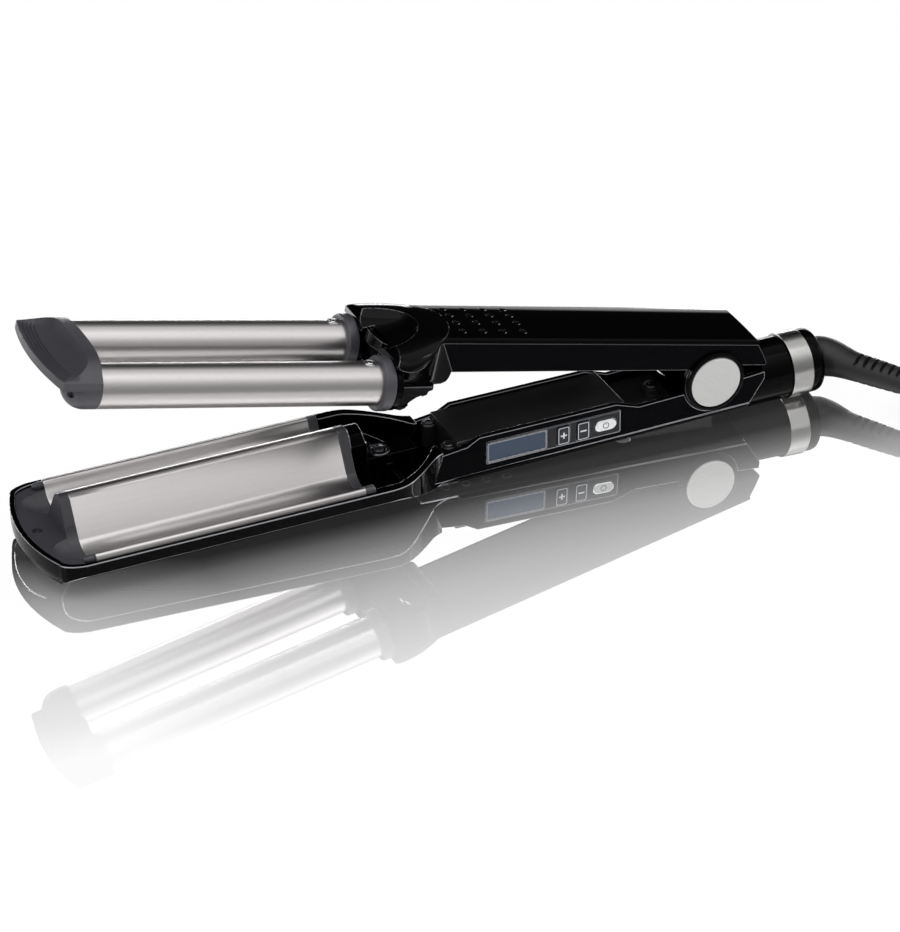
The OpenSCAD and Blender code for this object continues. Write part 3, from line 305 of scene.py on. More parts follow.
def ring_brushed(name, base, centre, axis, roughness):
    """Metal brushed round an axis: the lines are rings on a face and run round a rim."""
    made = Finish(name, base, roughness, Metallic=1.0)
    x, y, z = made.split(made.place(centre=centre))
    across = {"X": (y, z), "Y": (x, z)}[axis]
    reach = (across[0] * across[0] + across[1] * across[1]).root()
    along = {"X": x, "Y": y}[axis]
    vector = made.node("ShaderNodeCombineXYZ", {}, {"X": reach * 9000.0, "Y": along * 9000.0})
    lines = made.noise(1.0, 3.0, vector, 0.7)
    made.set("Base Color", made.blend(lines, *shaded(base, 0.84, 1.12)))
    made.set("Roughness", roughness - 0.06 + lines * 0.14)
    return made.bump(lines, 0.000006)


def brushed_ring():
    centre = LOWER @ Vector((39.0, 0.0, -10.1))
    return ring_brushed("brushed_ring", tuple(c * 0.72 for c in colours().brushed), centre, "X", 0.22)


def brushed_disc():
    """Metal brushed in straight lines across the disc."""
    base = (0.60, 0.60, 0.59)
    made = Finish("brushed_disc", base, 0.36, Metallic=1.0)
    lines = made.noise(1.0, 3.0, made.place(scale=(160, 3000, 6500), turn=(0, 0.5, 0)), 0.7)
    made.set("Base Color", made.blend(lines, *shaded(base, 0.82, 1.14)))
    made.set("Roughness", 0.3 + lines * 0.16)
    return made.bump(lines, 0.000008)


def polished(name, base, roughness):
    made = Finish(name, base, roughness, Metallic=1.0)
    cloud = made.noise(900.0, 3.0)
    made.set("Base Color", made.blend(cloud, *shaded(base, 0.9, 1.06)))
    made.set("Roughness", roughness * 0.8 + cloud * roughness * 0.4)
    return made


def display_glass():
    """Dark blue window over an unlit display, a little cloudy."""
    base = tuple(colours().glass)
    made = Finish("display_glass", base, 0.06, **{"Specular IOR Level": 0.4})
    fade = made.noise(30.0, 1.0)
    made.set("Base Color", made.blend(fade, *shaded(base, 0.85, 1.15)))
    made.set("Roughness", 0.05 + fade * 0.03)
    return made


SPECIAL = {
    "titanium": titanium, "brushed_ring": brushed_ring, "brushed_disc": brushed_disc, "display_glass": display_glass,
}


# ------------------------------------------------------------------ modelling


def alone(obj):
    """Selects one object and makes it active."""
    bpy.ops.object.select_all(action="DESELECT")
    obj.select_set(True)
    bpy.context.view_layer.objects.active = obj
    return obj


def edit(obj, *steps):
    """Runs steps on all of the mesh in edit mode."""
    alone(obj)
    bpy.ops.object.mode_set(mode="EDIT")
    bpy.ops.mesh.select_all(action="SELECT")
    for step in steps:
        step()
    bpy.ops.object.mode_set(mode="OBJECT")
    return obj


def outward():
    bpy.ops.mesh.normals_make_consistent(inside=False)


def without_points(obj, stray):
    """Dissolves the stray points that a bevel has thrown out of the surface."""
    edit(obj, lambda: bpy.ops.mesh.select_all(action="DESELECT"))
    for point in obj.data.vertices:
        point.select = stray(point.co)
    alone(obj)
    bpy.ops.object.mode_set(mode="EDIT")
    bpy.ops.mesh.select_mode(type="VERT")
    bpy.ops.mesh.dissolve_verts()
    bpy.ops.object.mode_set(mode="OBJECT")


def tidy_points():
    bpy.ops.mesh.remove_doubles(threshold=0.0005)


def outline(name, points, fill="NGON"):
    """A circle whose corners are put at the given points."""
    bpy.ops.object.select_all(action="DESELECT")
    bpy.ops.mesh.primitive_circle_add(vertices=len(points), radius=1.0, fill_type=fill)
    obj = bpy.context.object
    obj.name = name
    for vertex, point in zip(obj.data.vertices, points):
        vertex.co = point
    return obj


def raised(name, points, offset):
    """A flat outline drawn out into a solid."""
    obj = outline(name, points)
    return edit(
        obj,
        lambda: bpy.ops.mesh.extrude_region_move(TRANSFORM_OT_translate={"value": offset}),
        lambda: bpy.ops.mesh.select_all(action="SELECT"),
        outward,
    )


def through(name, side, y0, y1):
    """A side outline in X and Z, drawn out from y0 to y1."""
    return raised(name, [(x, y0, z) for x, z in side], (0, y1 - y0, 0))


def along(name, section, x0, x1):
    """A section in Y and Z, drawn out from x0 to x1."""
    return raised(name, [(x0, y, z) for y, z in section], (x1 - x0, 0, 0))


def upright(name, plan, z0, z1):
    """A plan in X and Y, drawn out from z0 to z1."""
    return raised(name, [(x, y, z0) for x, y in plan], (0, 0, z1 - z0))


def turned(name, profile, axis="X", centre=(0, 0, 0), steps=96):
    """A closed profile (distance along the axis, radius) spun round an axis."""
    cx, cy, cz = centre
    place = {
        "X": lambda a, r: (cx + a, cy, cz + r),
        "Y": lambda a, r: (cx, cy + a, cz + r),
        "Z": lambda a, r: (cx + r, cy, cz + a),
    }[axis]
    direction = {"X": (1, 0, 0), "Y": (0, 1, 0), "Z": (0, 0, 1)}[axis]
    obj = outline(name, [place(a, r) for a, r in profile], "NOTHING")
    return edit(
        obj,
        lambda: bpy.ops.mesh.spin(steps=steps, angle=math.tau, center=centre, axis=direction),
        lambda: bpy.ops.mesh.select_all(action="SELECT"),
        tidy_points,
        lambda: bpy.ops.mesh.dissolve_degenerate(threshold=0.0005),
        outward,
    )


def sheet(name, across, down, shape):
    """A grid whose points are put where shape(u, v) says, with u and v from 0 to 1."""
    bpy.ops.object.select_all(action="DESELECT")
    bpy.ops.mesh.primitive_grid_add(x_subdivisions=across, y_subdivisions=down, size=1.0)
    obj = bpy.context.object
    obj.name = name
    for vertex in obj.data.vertices:
        vertex.co = shape(vertex.co.x + 0.5, vertex.co.y + 0.5)
    return obj


def skinned(name, rings):
    """A closed skin over rings of points, with flat ends."""
    count, last = len(rings[0]), len(rings) - 1
    obj = sheet(
        name, last, count,
        lambda u, v: rings[round(u * last)][round(v * count) % count],
    )
    return edit(
        obj, tidy_points, lambda: bpy.ops.mesh.fill_holes(sides=0),
        lambda: bpy.ops.mesh.select_all(action="SELECT"), outward,
    )


def joined(obj, tool, operation="DIFFERENCE"):
    """Carves, adds or keeps common what the tool covers, and takes the tool away."""
    alone(obj)
    modifier = obj.modifiers.new("shape", "BOOLEAN")
    modifier.operation = operation
    modifier.solver = "EXACT"
    modifier.object = tool
    bpy.ops.object.modifier_apply(modifier="shape")
    bpy.data.objects.remove(tool)
    return obj


def carved(obj, *tools):
    for tool in tools:
        joined(obj, tool)
    return obj


def added(obj, *tools):
    for tool in tools:
        joined(obj, tool, "UNION")
    return obj


def kept(obj, *tools):
    for tool in tools:
        joined(obj, tool, "INTERSECT")
    return obj


def merged(objects, name):
    """Several closed bodies in one object."""
    bpy.ops.object.select_all(action="DESELECT")
    for obj in objects:
        obj.select_set(True)
    bpy.context.view_layer.objects.active = objects[0]
    bpy.ops.object.join()
    objects[0].name = name
    return objects[0]


def copied(obj, name):
    made = obj.copy()
    made.data = obj.data.copy()
    made.name = name
    bpy.context.scene.collection.objects.link(made)
    return made


def marker(name):
    """A stand-in material that is swapped for the real finish when a piece is laid down."""
    return bpy.data.materials.get(name) or bpy.data.materials.new(name)


def rounded(obj, width, segments=2, angle=30.0, clamp=True):
    """Rounds the sharp edges and marks the new faces as edge."""
    alone(obj)
    for mark in (marker("body"), marker("edge")):
        if mark.name not in obj.data.materials:
            obj.data.materials.append(mark)
    modifier = obj.modifiers.new("edge", "BEVEL")
    modifier.material = list(obj.data.materials).index(marker("edge"))
    modifier.width = width
    modifier.segments = segments
    modifier.limit_method = "ANGLE"
    modifier.angle_limit = math.radians(angle)
    modifier.use_clamp_overlap = clamp
    modifier.miter_outer = "MITER_ARC"
    bpy.ops.object.modifier_apply(modifier="edge")
    return obj


# the lighter finish that the rounded edges of a piece get, a painted highlight
EDGE_HIGHLIGHTS = {
    "gloss_black": "edge_black", "band_black": "edge_black", "panel_black": "edge_black",
    "deck_black": "edge_satin", "dark_grey": "edge_grey", "head_black": "edge_dim", "arm_black": "edge_dim",
}


def placed(obj, arm, body, material, nodes=(), smooth=35.0, weighted=True):
    """Lays a finished piece down in the row frame and says what it stands for."""
    edit(obj, tidy_points)
    alone(obj)
    bpy.ops.object.shade_smooth_by_angle(angle=math.radians(smooth))
    if weighted:
        modifier = obj.modifiers.new("normals", "WEIGHTED_NORMAL")
        modifier.keep_sharp = True
        bpy.ops.object.modifier_apply(modifier="normals")
    obj.matrix_world = arm
    bpy.ops.object.transform_apply(location=True, rotation=True, scale=True)
    if len(obj.data.materials) == 0:
        obj.data.materials.append(finish(material))
    for i, mark in enumerate(obj.data.materials):
        # rounded edges of these finishes get a lighter metal, a painted highlight
        painted_edge = mark == marker("edge") and material in EDGE_HIGHLIGHTS
        obj.data.materials[i] = finish(EDGE_HIGHLIGHTS[material] if painted_edge else material)
    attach(obj, body)
    if nodes:
        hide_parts(*nodes)
    return obj


def arc(centre, radius, start, end, steps):
    """Points on an arc, angles in degrees."""
    angles = [math.radians(start + (end - start) * i / steps) for i in range(steps + 1)]
    return [(centre[0] + radius * math.cos(a), centre[1] + radius * math.sin(a)) for a in angles]


def both(half):
    """A section or plan given for +Y from the middle out, with its mirror image."""
    return [(-a, b) for a, b in reversed(half) if a > 1e-6] + list(half)


def both_plan(half):
    """A plan given for +Y from the front to the back, with its mirror image."""
    return list(half) + [(x, -y) for x, y in reversed(half)]


def dome(x, radius):
    """Profile of a round end, from its tip to its rim at x."""
    return [
        (x + radius * math.cos(math.radians(a)), radius * math.sin(math.radians(a))) for a in range(180, 89, -5)
    ]


def smooth_table(table, at):
    """A value read off a table along a smooth curve through its points."""
    n = len(table)
    if at <= table[0][0]:
        return table[0][1]
    if at >= table[-1][0]:
        return table[-1][1]
    k = max(i for i in range(n - 1) if table[i][0] <= at)
    (x0, y0), (x1, y1) = table[k], table[k + 1]

    def slope(i):
        lo, hi = max(i - 1, 0), min(i + 1, n - 1)
        return (table[hi][1] - table[lo][1]) / (table[hi][0] - table[lo][0])

    h = x1 - x0
    t = (at - x0) / h
    m0, m1 = slope(k) * h, slope(k + 1) * h
    return (
        y0 * (2 * t**3 - 3 * t**2 + 1) + m0 * (t**3 - 2 * t**2 + t)
        + y1 * (3 * t**2 - 2 * t**3) + m1 * (t**3 - t**2)
    )


# ------------------------------------------------------------------ levels and stations

SIDES = (("near", -1), ("far", 1))
# tilt of the cover's and of the shell's seam, in degrees
COVER_TILT, SHELL_TILT = 0.56, 0.82
SEAM_UP, SEAM_UP_SLOPE = 14.85, math.tan(math.radians(COVER_TILT))
SEAM_LOW, SEAM_LOW_SLOPE = 13.6, math.tan(math.radians(SHELL_TILT))
COVER_TOP = SEAM_UP + 2.8
BOTTOM_TOP = SEAM_LOW + 3.4
CROWN_R = 71.0
TAIL_Z = -10.1
HANDLE_WALL = 2.2
TRAY_HALF, TRAY_INNER, TRAY_FLOOR = 30.5, 28.36, -14.2
# where the waved plate starts and ends, and the strip and the crest piece behind it end
PLATE_FRONT, PLATE_REAR, STRIP_REAR, FLANGE_REAR = -248.8, -146.5, -142.8, -136.0
NECK_SCREW_X, NECK_SCREW_Y, DECK_SCREW_X = -105.5, 8.6, -19.0
SHELL_SCREW_X = (-88, -30)
KEY_X = (("plus", -62), ("minus", -54))
# rounds of the wave's section, in Y and Z
CREST, CREST_R = (0.0, 4.0), 5.0
VALLEY, VALLEY_R = (16.5, 2.2), 9.3
LIP_R, LIP_ANGLE = 1.8, math.radians(-25)
REACH = Vector((VALLEY[0] - CREST[0], VALLEY[1] - CREST[1]))
WAVE_TURN = math.degrees(math.acos((CREST_R + VALLEY_R) / REACH.length))
WAVE_TURN += math.degrees(math.atan2(REACH.y, REACH.x))
LIP = (
    VALLEY[0] + (VALLEY_R + LIP_R) * math.cos(LIP_ANGLE),
    VALLEY[1] + (VALLEY_R + LIP_R) * math.sin(LIP_ANGLE),
)


def upper_seam(x):
    return SEAM_UP - x * SEAM_UP_SLOPE


def lower_seam(x):
    return -SEAM_LOW + x * SEAM_LOW_SLOPE


def crown(top, y):
    return top - y * y / (2 * CROWN_R)


def crown_section(top, half, low, corner=1.5):
    """Section of a cover: straight sides, small round corners and a shallow crown."""
    shoulder = crown(top, half - corner)
    half_points = [(y, crown(top, y)) for y in [i * 0.9 for i in range(14)] if y < half - corner - 0.2]
    half_points += arc((half - corner, shoulder - corner), corner, 86, 0, 7)
    half_points.append((half, low))
    return both(half_points)


# ------------------------------------------------------------------ camera and cords

CAMERA_AT = Vector((-0.482758, -1.228245, 0.816651))
CAMERA_RIGHT = Vector((0.908679, -0.417234, 0.014738))
CAMERA_UP = Vector((0.203469, 0.473401, 0.857025))
CAMERA_AHEAD = Vector((0.364558, 0.775762, -0.515064))
CAMERA_LENS = 172.97


def make_camera():
    data = bpy.data.cameras.new("camera")
    data.lens, data.sensor_width, data.sensor_fit = CAMERA_LENS, 36.0, "HORIZONTAL"
    data.clip_start, data.clip_end = 0.05, 50.0
    camera = bpy.data.objects.new("camera", data)
    turn = Matrix((CAMERA_RIGHT, CAMERA_UP, -CAMERA_AHEAD)).transposed()
    camera.matrix_world = Matrix.Translation(CAMERA_AT) @ turn.to_4x4()
    bpy.context.scene.collection.objects.link(camera)
    bpy.context.scene.camera = camera


# the cord from the strain relief down to the coil, in metres
CORD_START = [
    (0.27001, -0.0348, 0.0136), (0.2732, -0.0399, 0.0136), (0.2764, -0.0450, 0.0135),
    (0.2796, -0.0495, 0.0126), (0.2832, -0.0535, 0.0109), (0.2872, -0.0571, 0.0086),
    (0.2916, -0.0604, 0.0064), (0.2962, -0.0633, 0.0045), (0.3011, -0.0660, 0.0034),
    (0.3061, -0.0684, 0.0033), (0.3113, -0.0705, 0.0033),
]
COIL_AT = (0.332, -0.030)
COIL_START, COIL_SWEEP, COIL_STEPS = 250.0, 888.75, 60
CLIMB_SWEEP, CLIMB_STEPS = 105.0, 7
PLUG_AT = Vector((0.362, -0.045, 0.0333))


def coil_points():
    """The wound length: four layers, in and out again, each a diameter above the last."""
    d, mid = sizes().cord_diameter, sizes().coil_radius
    outer, inner = mid + 1.25 * d, mid - 1.25 * d
    points, angle, level = [], math.radians(COIL_START), 0.5 * d
    for layer in range(4):
        start, end = (outer, inner) if layer % 2 == 0 else (inner, outer)
        for i in range(COIL_STEPS):
            t = i / COIL_STEPS
            points.append((angle, start + (end - start) * t, level))
            angle += math.radians(COIL_SWEEP) / COIL_STEPS
        if layer < 3:
            for i in range(CLIMB_STEPS):
                t = i / CLIMB_STEPS
                points.append((angle, end, level + d * (3 * t * t - 2 * t**3)))
                angle += math.radians(CLIMB_SWEEP) / CLIMB_STEPS
            level += d
    points.append((angle, outer, level))
    return [
        Vector((COIL_AT[0] + r * math.cos(a), COIL_AT[1] + r * math.sin(a), z)) for a, r, z in points
    ], angle, outer


def end_points(angle, outer, start_z):
    """The last stretch: round the top of the coil, then a tighter bend to the plug."""
    bend, centre, enter = 0.027, (0.335, -0.048), math.radians(279.5)
    last = enter + math.ceil((angle - enter) / math.tau) * math.tau
    round_length, bend_length = outer * (last - angle), bend * (math.tau - enter)
    rise = PLUG_AT.z - start_z

    def height(s):
        return start_z + rise * (1 - math.cos(math.pi * s / (round_length + bend_length))) / 2

    points = []
    for i in range(1, 13):
        a = angle + (last - angle) * i / 12
        points.append(Vector((
            COIL_AT[0] + outer * math.cos(a), COIL_AT[1] + outer * math.sin(a), height(round_length * i / 12),
        )))
    for i in range(1, 9):
        a = enter + (math.tau - enter) * i / 8
        points.append(Vector((
            centre[0] + bend * math.cos(a), centre[1] + bend * math.sin(a),
            height(round_length + bend_length * i / 8),
        )))
    return [*points, PLUG_AT.copy()]


def cord_route():
    wound, angle, outer = coil_points()
    return [Vector(p) for p in CORD_START] + wound + end_points(angle, outer, wound[-1].z)


def route_length(points):
    return sum((b - a).length for a, b in zip(points, points[1:]))


def make_cord():
    route = cord_route()
    data = bpy.data.curves.new("mains_cord", "CURVE")
    data.dimensions = "3D"
    data.bevel_depth = sizes().cord_diameter / 2
    data.bevel_resolution = 5
    data.resolution_u = 3
    data.use_fill_caps = True
    spline = data.splines.new("NURBS")
    spline.points.add(len(route) - 1)
    for point, place in zip(spline.points, route):
        point.co = (*place, 1.0)
    spline.order_u = 3
    spline.use_endpoint_u = True
    cord = bpy.data.objects.new("mains_cord", data)
    bpy.context.scene.collection.objects.link(cord)
    data.materials.append(finish("cord_black"))
    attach(cord, "swivel")
    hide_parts("cord_tube", "cord_coil", "cord_end")
    return cord, route


# ------------------------------------------------------------------ upper arm


def handle_half():
    return mm(sizes().handle_half)


def barrel_place():
    """Offset, height and radius of the barrels, in millimetres."""
    return mm(sizes().barrel_offset), mm(sizes().barrel_height), mm(sizes().barrel_radius)


def resized(obj, scale):
    alone(obj)
    obj.scale = scale
    bpy.ops.object.transform_apply(scale=True)
    return obj


def tilted(obj, degrees):
    alone(obj)
    obj.rotation_euler = (0, math.radians(degrees), 0)
    bpy.ops.object.transform_apply(location=False, rotation=True, scale=False)
    return obj


def cylinder(name, x, y, z, radius, depth, axis="Z", steps=96):
    """A plain rod used to carve with; x, y, z is its middle."""
    turn = {"X": (0, math.pi / 2, 0), "Y": (math.pi / 2, 0, 0), "Z": (0, 0, 0)}[axis]
    bpy.ops.object.select_all(action="DESELECT")
    bpy.ops.mesh.primitive_cylinder_add(
        vertices=steps, radius=radius, depth=depth, location=(x, y, z), rotation=turn
    )
    obj = bpy.context.object
    obj.name = name
    bpy.ops.object.transform_apply(location=True, rotation=True, scale=True)
    return obj


def ball(name, at, radii, segments=48):
    bpy.ops.object.select_all(action="DESELECT")
    bpy.ops.mesh.primitive_uv_sphere_add(
        segments=segments, ring_count=segments // 2, radius=1.0, location=at
    )
    obj = bpy.context.object
    obj.name = name
    obj.scale = radii
    bpy.ops.object.transform_apply(location=True, rotation=True, scale=True)
    return obj


def box(name, x0, x1, y0, y1, z0, z1):
    return upright(name, [(x0, y0), (x1, y0), (x1, y1), (x0, y1)], z0, z1)


def dimple_places(first_x=-107.0, step_x=8.2, step_y=6.0):
    count = sizes().dimple_count
    return [
        (first_x + i * step_x, (j - (count - 1) / 2) * step_y)
        for i in range(count) for j in range(count)
    ]


def dimple_balls(top):
    """The balls that press the dimples into a crowned face."""
    radius, depth = mm(sizes().dimple_radius), mm(sizes().dimple_depth)
    return merged([
        ball("dimple", (x, y, crown(top, y) + radius - depth), (radius,) * 3, 32)
        for x, y in dimple_places()
    ], "dimples")


# round joint between the handle and the head, seen from above
JOINT_X, JOINT_R = -128.0, 18.0
# which way a dimple's wall has to face to get the painted highlight, and how far from its middle
PAINTED_GLINT_WAY, PAINTED_GLINT_REACH = (-0.37, 0.93), 1.42


def make_upper_cover():
    half = handle_half()
    cover = along("upper_cover_shell", crown_section(COVER_TOP, half, SEAM_UP), -119.8, 15.4)
    inner = half - HANDLE_WALL
    carved(cover, box("room", -106, 13.4, -inner, inner, SEAM_UP - 3, COVER_TOP - 2.6))
    # room over the leg of the hinge spring
    carved(cover, box("leg_room", -3.5, 2.5, 2.4, 5.4, SEAM_UP, COVER_TOP - 2.0))
    carved(cover, dimple_balls(COVER_TOP))
    tilted(cover, COVER_TILT)
    carved(
        cover,
        cylinder("joint", JOINT_X, 0, 20, JOINT_R + 0.06, 30, steps=192),
        through("slope", [(12.6, 18.4), (16.6, 14.6), (20, 14), (20, 22), (12.6, 22)], -16, 16),
    )
    rounded(cover, 0.3, 2, 28)
    placed(cover, UPPER, "upper", "gloss_black", ["upper_cover"])
    # the wall of each dimple that faces away from the viewer gets a light grey finish, a painted highlight
    cover.data.materials.append(finish("glint"))
    glint, back = len(cover.data.materials) - 1, UPPER.inverted()
    turn = back.to_3x3().normalized()
    for face in cover.data.polygons:
        at, way = back @ face.center, turn @ face.normal
        near = any(math.hypot(at.x - x, at.y - y) < PAINTED_GLINT_REACH for x, y in dimple_places())
        facing = way.x * PAINTED_GLINT_WAY[0] + way.y * PAINTED_GLINT_WAY[1]
        if near and at.z > 10 and way.z > 0.5 and facing > 0.3:
            face.material_index = glint


def make_upper_frame():
    half = handle_half()
    ear = arc((0, 0), 12.0, 30.6, -200.5, 72)
    side = [
        (-116.8, upper_seam(-116.8)), (15.4, upper_seam(15.4)), (18.8, 10.4), (21, 7.2), (20.6, 6.1),
        *ear, (-110.5, 4.2),
    ]
    side[5] = (12.0 * math.cos(math.radians(30.6)), 6.1)
    frame_piece = through("upper_side_frame", side, -half, half)
    inner = half - HANDLE_WALL
    carved(
        frame_piece,
        through("hollow", [
            (-119, -20), (-119, 40), (13.2, 40), (13.2, 12.6), (16.6, 9.4), (18.4, 6.8), (18.4, -20),
        ], -inner, inner),
        cylinder("bore", 0, 0, 0, 3.05, 40, "Y"),
    )
    rounded(frame_piece, 0.35, 2, 30)
    placed(frame_piece, UPPER, "upper", "arm_black", ["upper_frame"])


HOOD_HALF = [
    (-140.6, 22.6), (-137.5, 24.2), (-134, 24.9), (-130, 24.2), (-126, 22.3), (-122, 19.2),
    (-119, 16.2), (-116.8, 14.2), (-114, 14.1), (-109, 14.1),
]
HOOD_EDGE = [
    (-140.6, 11.4), (-137, 10.4), (-134, 9.8), (-130, 9.9), (-126, 11.0), (-122, 12.9),
    (-119, 14.6), (-116.8, 15.9), (-114, 15.9), (-109, 15.9),
]
HOOD_TOP = [
    (-140.6, 14.9), (-137, 16.0), (-133, 16.8), (-128, 17.6), (-122, 18.35), (-116.8, 18.79),
    (-110, 18.73), (-109, 18.72),
]


def hood_ring(x):
    """One section of the hood, closed, from the near lower edge over the top to the far one."""
    half, edge, top = (smooth_table(t, x) for t in (HOOD_HALF, HOOD_EDGE, HOOD_TOP))
    share = min(max((x + 122.0) / 5.2, 0.0), 1.0)
    share = share * share * (3 - 2 * share)
    power, corner, points = 2.55, 1.5, []
    for i in range(49):
        angle = (i / 24 - 1) * math.pi / 2
        y = math.copysign(abs(math.sin(angle)) ** (2 / power), angle)
        round_z = edge + (top - edge) * abs(math.cos(angle)) ** (2 / power)
        reach = abs(y) * half
        flat_z = top - reach * reach / (2 * CROWN_R)
        beyond = reach - (half - corner)
        if beyond > 0:
            flat_z = top - (half - corner) ** 2 / (2 * CROWN_R) - corner
            flat_z += math.sqrt(max(corner * corner - beyond * beyond, 0.0))
        if i in (0, 48):
            flat_z = edge
        points.append((x, y * half, round_z + (flat_z - round_z) * share))
    low = edge - 0.9 * (1 - share)
    for i in range(9):
        y = half - 1.0 - (2 * half - 2.0) * i / 8
        points.append((x, y, low if 0 < i < 8 else edge - 0.35))
    return points


CORE_TOP = [(-135.0, 10.2), (-127, 10.8), (-122, 12.6), (-118, 15.2), (-109.8, 15.2)]
CORE_WIDE = [
    (-135.0, 23.8), (-129, 22.9), (-125, 20.9), (-121, 17.8), (-117.5, 14.2), (-109.8, 13.95),
]
CORE_NARROW = [
    (-135.0, 17.2), (-124, 16.6), (-120.5, 15.4), (-117.5, 14.1), (-115, 13.9), (-109.8, 13.9),
]
CORE_LOW = [
    (-135.0, -1.4), (-118, -1.4), (-114.5, -1.3), (-112.6, -0.9), (-111.4, 0.2), (-110.7, 1.9),
    (-110.3, 4.0), (-109.8, 5.0),
]
CORE_STATIONS = [
    -135.0, -132, -129, -126, -123, -120, -117.5, -115.5, -113.5, -112, -111.4, -110.9, -110.5,
    -110.1, -109.8,
]


def core_ring(x):
    """A section of the body under the hood: hollow flanks that run out to the ledge."""
    top, wide, narrow, low = (smooth_table(t, x) for t in (CORE_TOP, CORE_WIDE, CORE_NARROW, CORE_LOW))
    level = max(low + 1.5, 0.3)
    half = [
        (wide - 0.9, top + 0.8), (wide - 0.05, top), (narrow + 0.1, level + 1.2),
        (narrow, level), (narrow - 0.3, low + 0.7), (narrow - 1.4, low),
    ]
    return [(x, -y, z) for y, z in reversed(half)] + [(x, y, z) for y, z in half]


def make_hood():
    """The rounded shell of the head, up to the round joint with the handle."""
    stations = [-140.6 + i * 0.62 for i in range(50)] + [-109.6]
    hood = skinned("upper_head_hood", [hood_ring(x) for x in stations])
    turn = math.degrees(math.asin(handle_half() / JOINT_R))
    joint = arc((JOINT_X, 0), JOINT_R, -turn, turn, 40)
    plan = [(-150, -30), (-116.8, -30), *joint, (-116.8, 30), (-150, 30)]
    kept(hood, upright("plan", plan, 0, 40))
    # the front wall leans back towards its top, and its corners run back to the sides
    carved(hood, through("lean", [
        (-145, 9), (-138.6, 9), (-137.8, 12.4), (-135.2, 16.2), (-134.9, 24), (-145, 24),
    ], -30, 30))
    for s in (-1, 1):
        corner = [(-143, s * 19), (-139.4, s * 21), (-136.4, s * 26), (-143, s * 30)]
        carved(hood, upright("corner", corner[::s], 0, 40))
    return hood


def make_upper_head():
    offset, level, _ = barrel_place()
    hood = make_hood()
    core = skinned("core", [core_ring(x) for x in CORE_STATIONS])
    ledge_plan = [(-135.0, 17.6), (-119.6, 17.5), (-118.0, 16.6), (-117.2, 15.0), (-117.0, 12.5)]
    ledge = upright("ledge", both_plan(ledge_plan), -1.7, 0.3)
    pieces = [hood, core, rounded(ledge, 0.45, 3, 50)]
    for s in (-1, 1):
        cup = turned("collar_seat", [
            (-137.5, 0), (-137.5, 8.8), (-137.2, 9.2), (-134.9, 9.2), (-134.5, 8.8), (-134.5, 0),
        ], "X", (0, s * offset, level), 96)
        y0, y1 = sorted((s * 17.6, s * 14.2))
        leg = through("leg", [
            (-133.4, -8.2), (-130.0, -9.0), (-128.2, -8.2), (-126.4, -6.0), (-124.0, -4.2),
            (-120.6, -2.9), (-120.0, -1.2), (-133.4, -1.2),
        ], y0, y1)
        carved(leg, through("dent", [
            (-132.6, -7.0), (-128.4, -3.1), (-121.4, -3.1), (-124.4, -4.6), (-127, -6.8), (-129, -8.0),
        ], *sorted((s * 16.9, s * 19))))
        pieces += [cup, rounded(leg, 0.2, 2, 40)]
    scoop = ball("scoop", (-150.0, 0, 21.4), (29.0, 20.4, 12.3), 160)
    carved(hood, scoop)
    notch = through("notch", [
        (-146, 2), (-135.2, 2), (-134.2, 9), (-133.6, 12), (-133.6, 30), (-146, 30),
    ], -7.6, 7.6)
    for piece in (hood, core):
        carved(piece, copied(notch, "notch_copy"))
    bpy.data.objects.remove(notch)
    rounded(hood, 0.28, 3, 30, False)
    rounded(core, 0.2, 2, 34, False)
    wide = 6.6
    bow = [
        (-139.3 + (y / wide) ** 2 * 1.9, y)
        for y in (wide, 5.2, 3.6, 1.9, 0, -1.9, -3.6, -5.2, -wide)
    ]
    boss = skinned("boss", [
        [(x, y, 4.6) for x, y in bow] + [(-130, -wide, 4.6), (-130, wide, 4.6)],
        [(x + 0.6, y, 13.4 - (y / wide) ** 2 * 0.8) for x, y in bow]
        + [(-133, -wide, 11.0), (-133, wide, 11.0)],
    ])
    tier = box("tier", -137.4, -130, -5.0, 5.0, 1.0, 4.9)
    # room for the crest piece when the arm is closed
    top = CREST[1] + CREST_R - 0.1
    for piece in (boss, tier):
        carved(piece, through("flange_room", [
            (-146, -2), (-135.5, -2), (-135.5, 3.2), (-136.0, 3.2),
            (-138.2 + (14 - top) * 0.2, top), (-146, top),
        ], -8, 8))
    pieces += [rounded(boss, 0.3, 3, 40, False), rounded(tier, 0.25, 2, 30, False)]
    for s in (-1, 1):
        room = turned("collar_room", [
            (-148.2, 0), (-148.2, 10.6), (-137.0, 10.6), (-135.6, 10.3), (-135.0, 9.7), (-135.0, 0),
        ], "X", (0, s * offset, level), 128)
        for piece in (hood, core, boss, tier):
            carved(piece, copied(room, "collar_room_copy"))
        bpy.data.objects.remove(room)
    hood = merged(pieces, "upper_head_hood")
    placed(hood, UPPER, "upper", "head_black", ["upper_head"])


BARREL_FRONT, BARREL_REAR, COLLAR_STEP, COLLAR_REAR = -249.4, -142.0, -137.7, -135.1


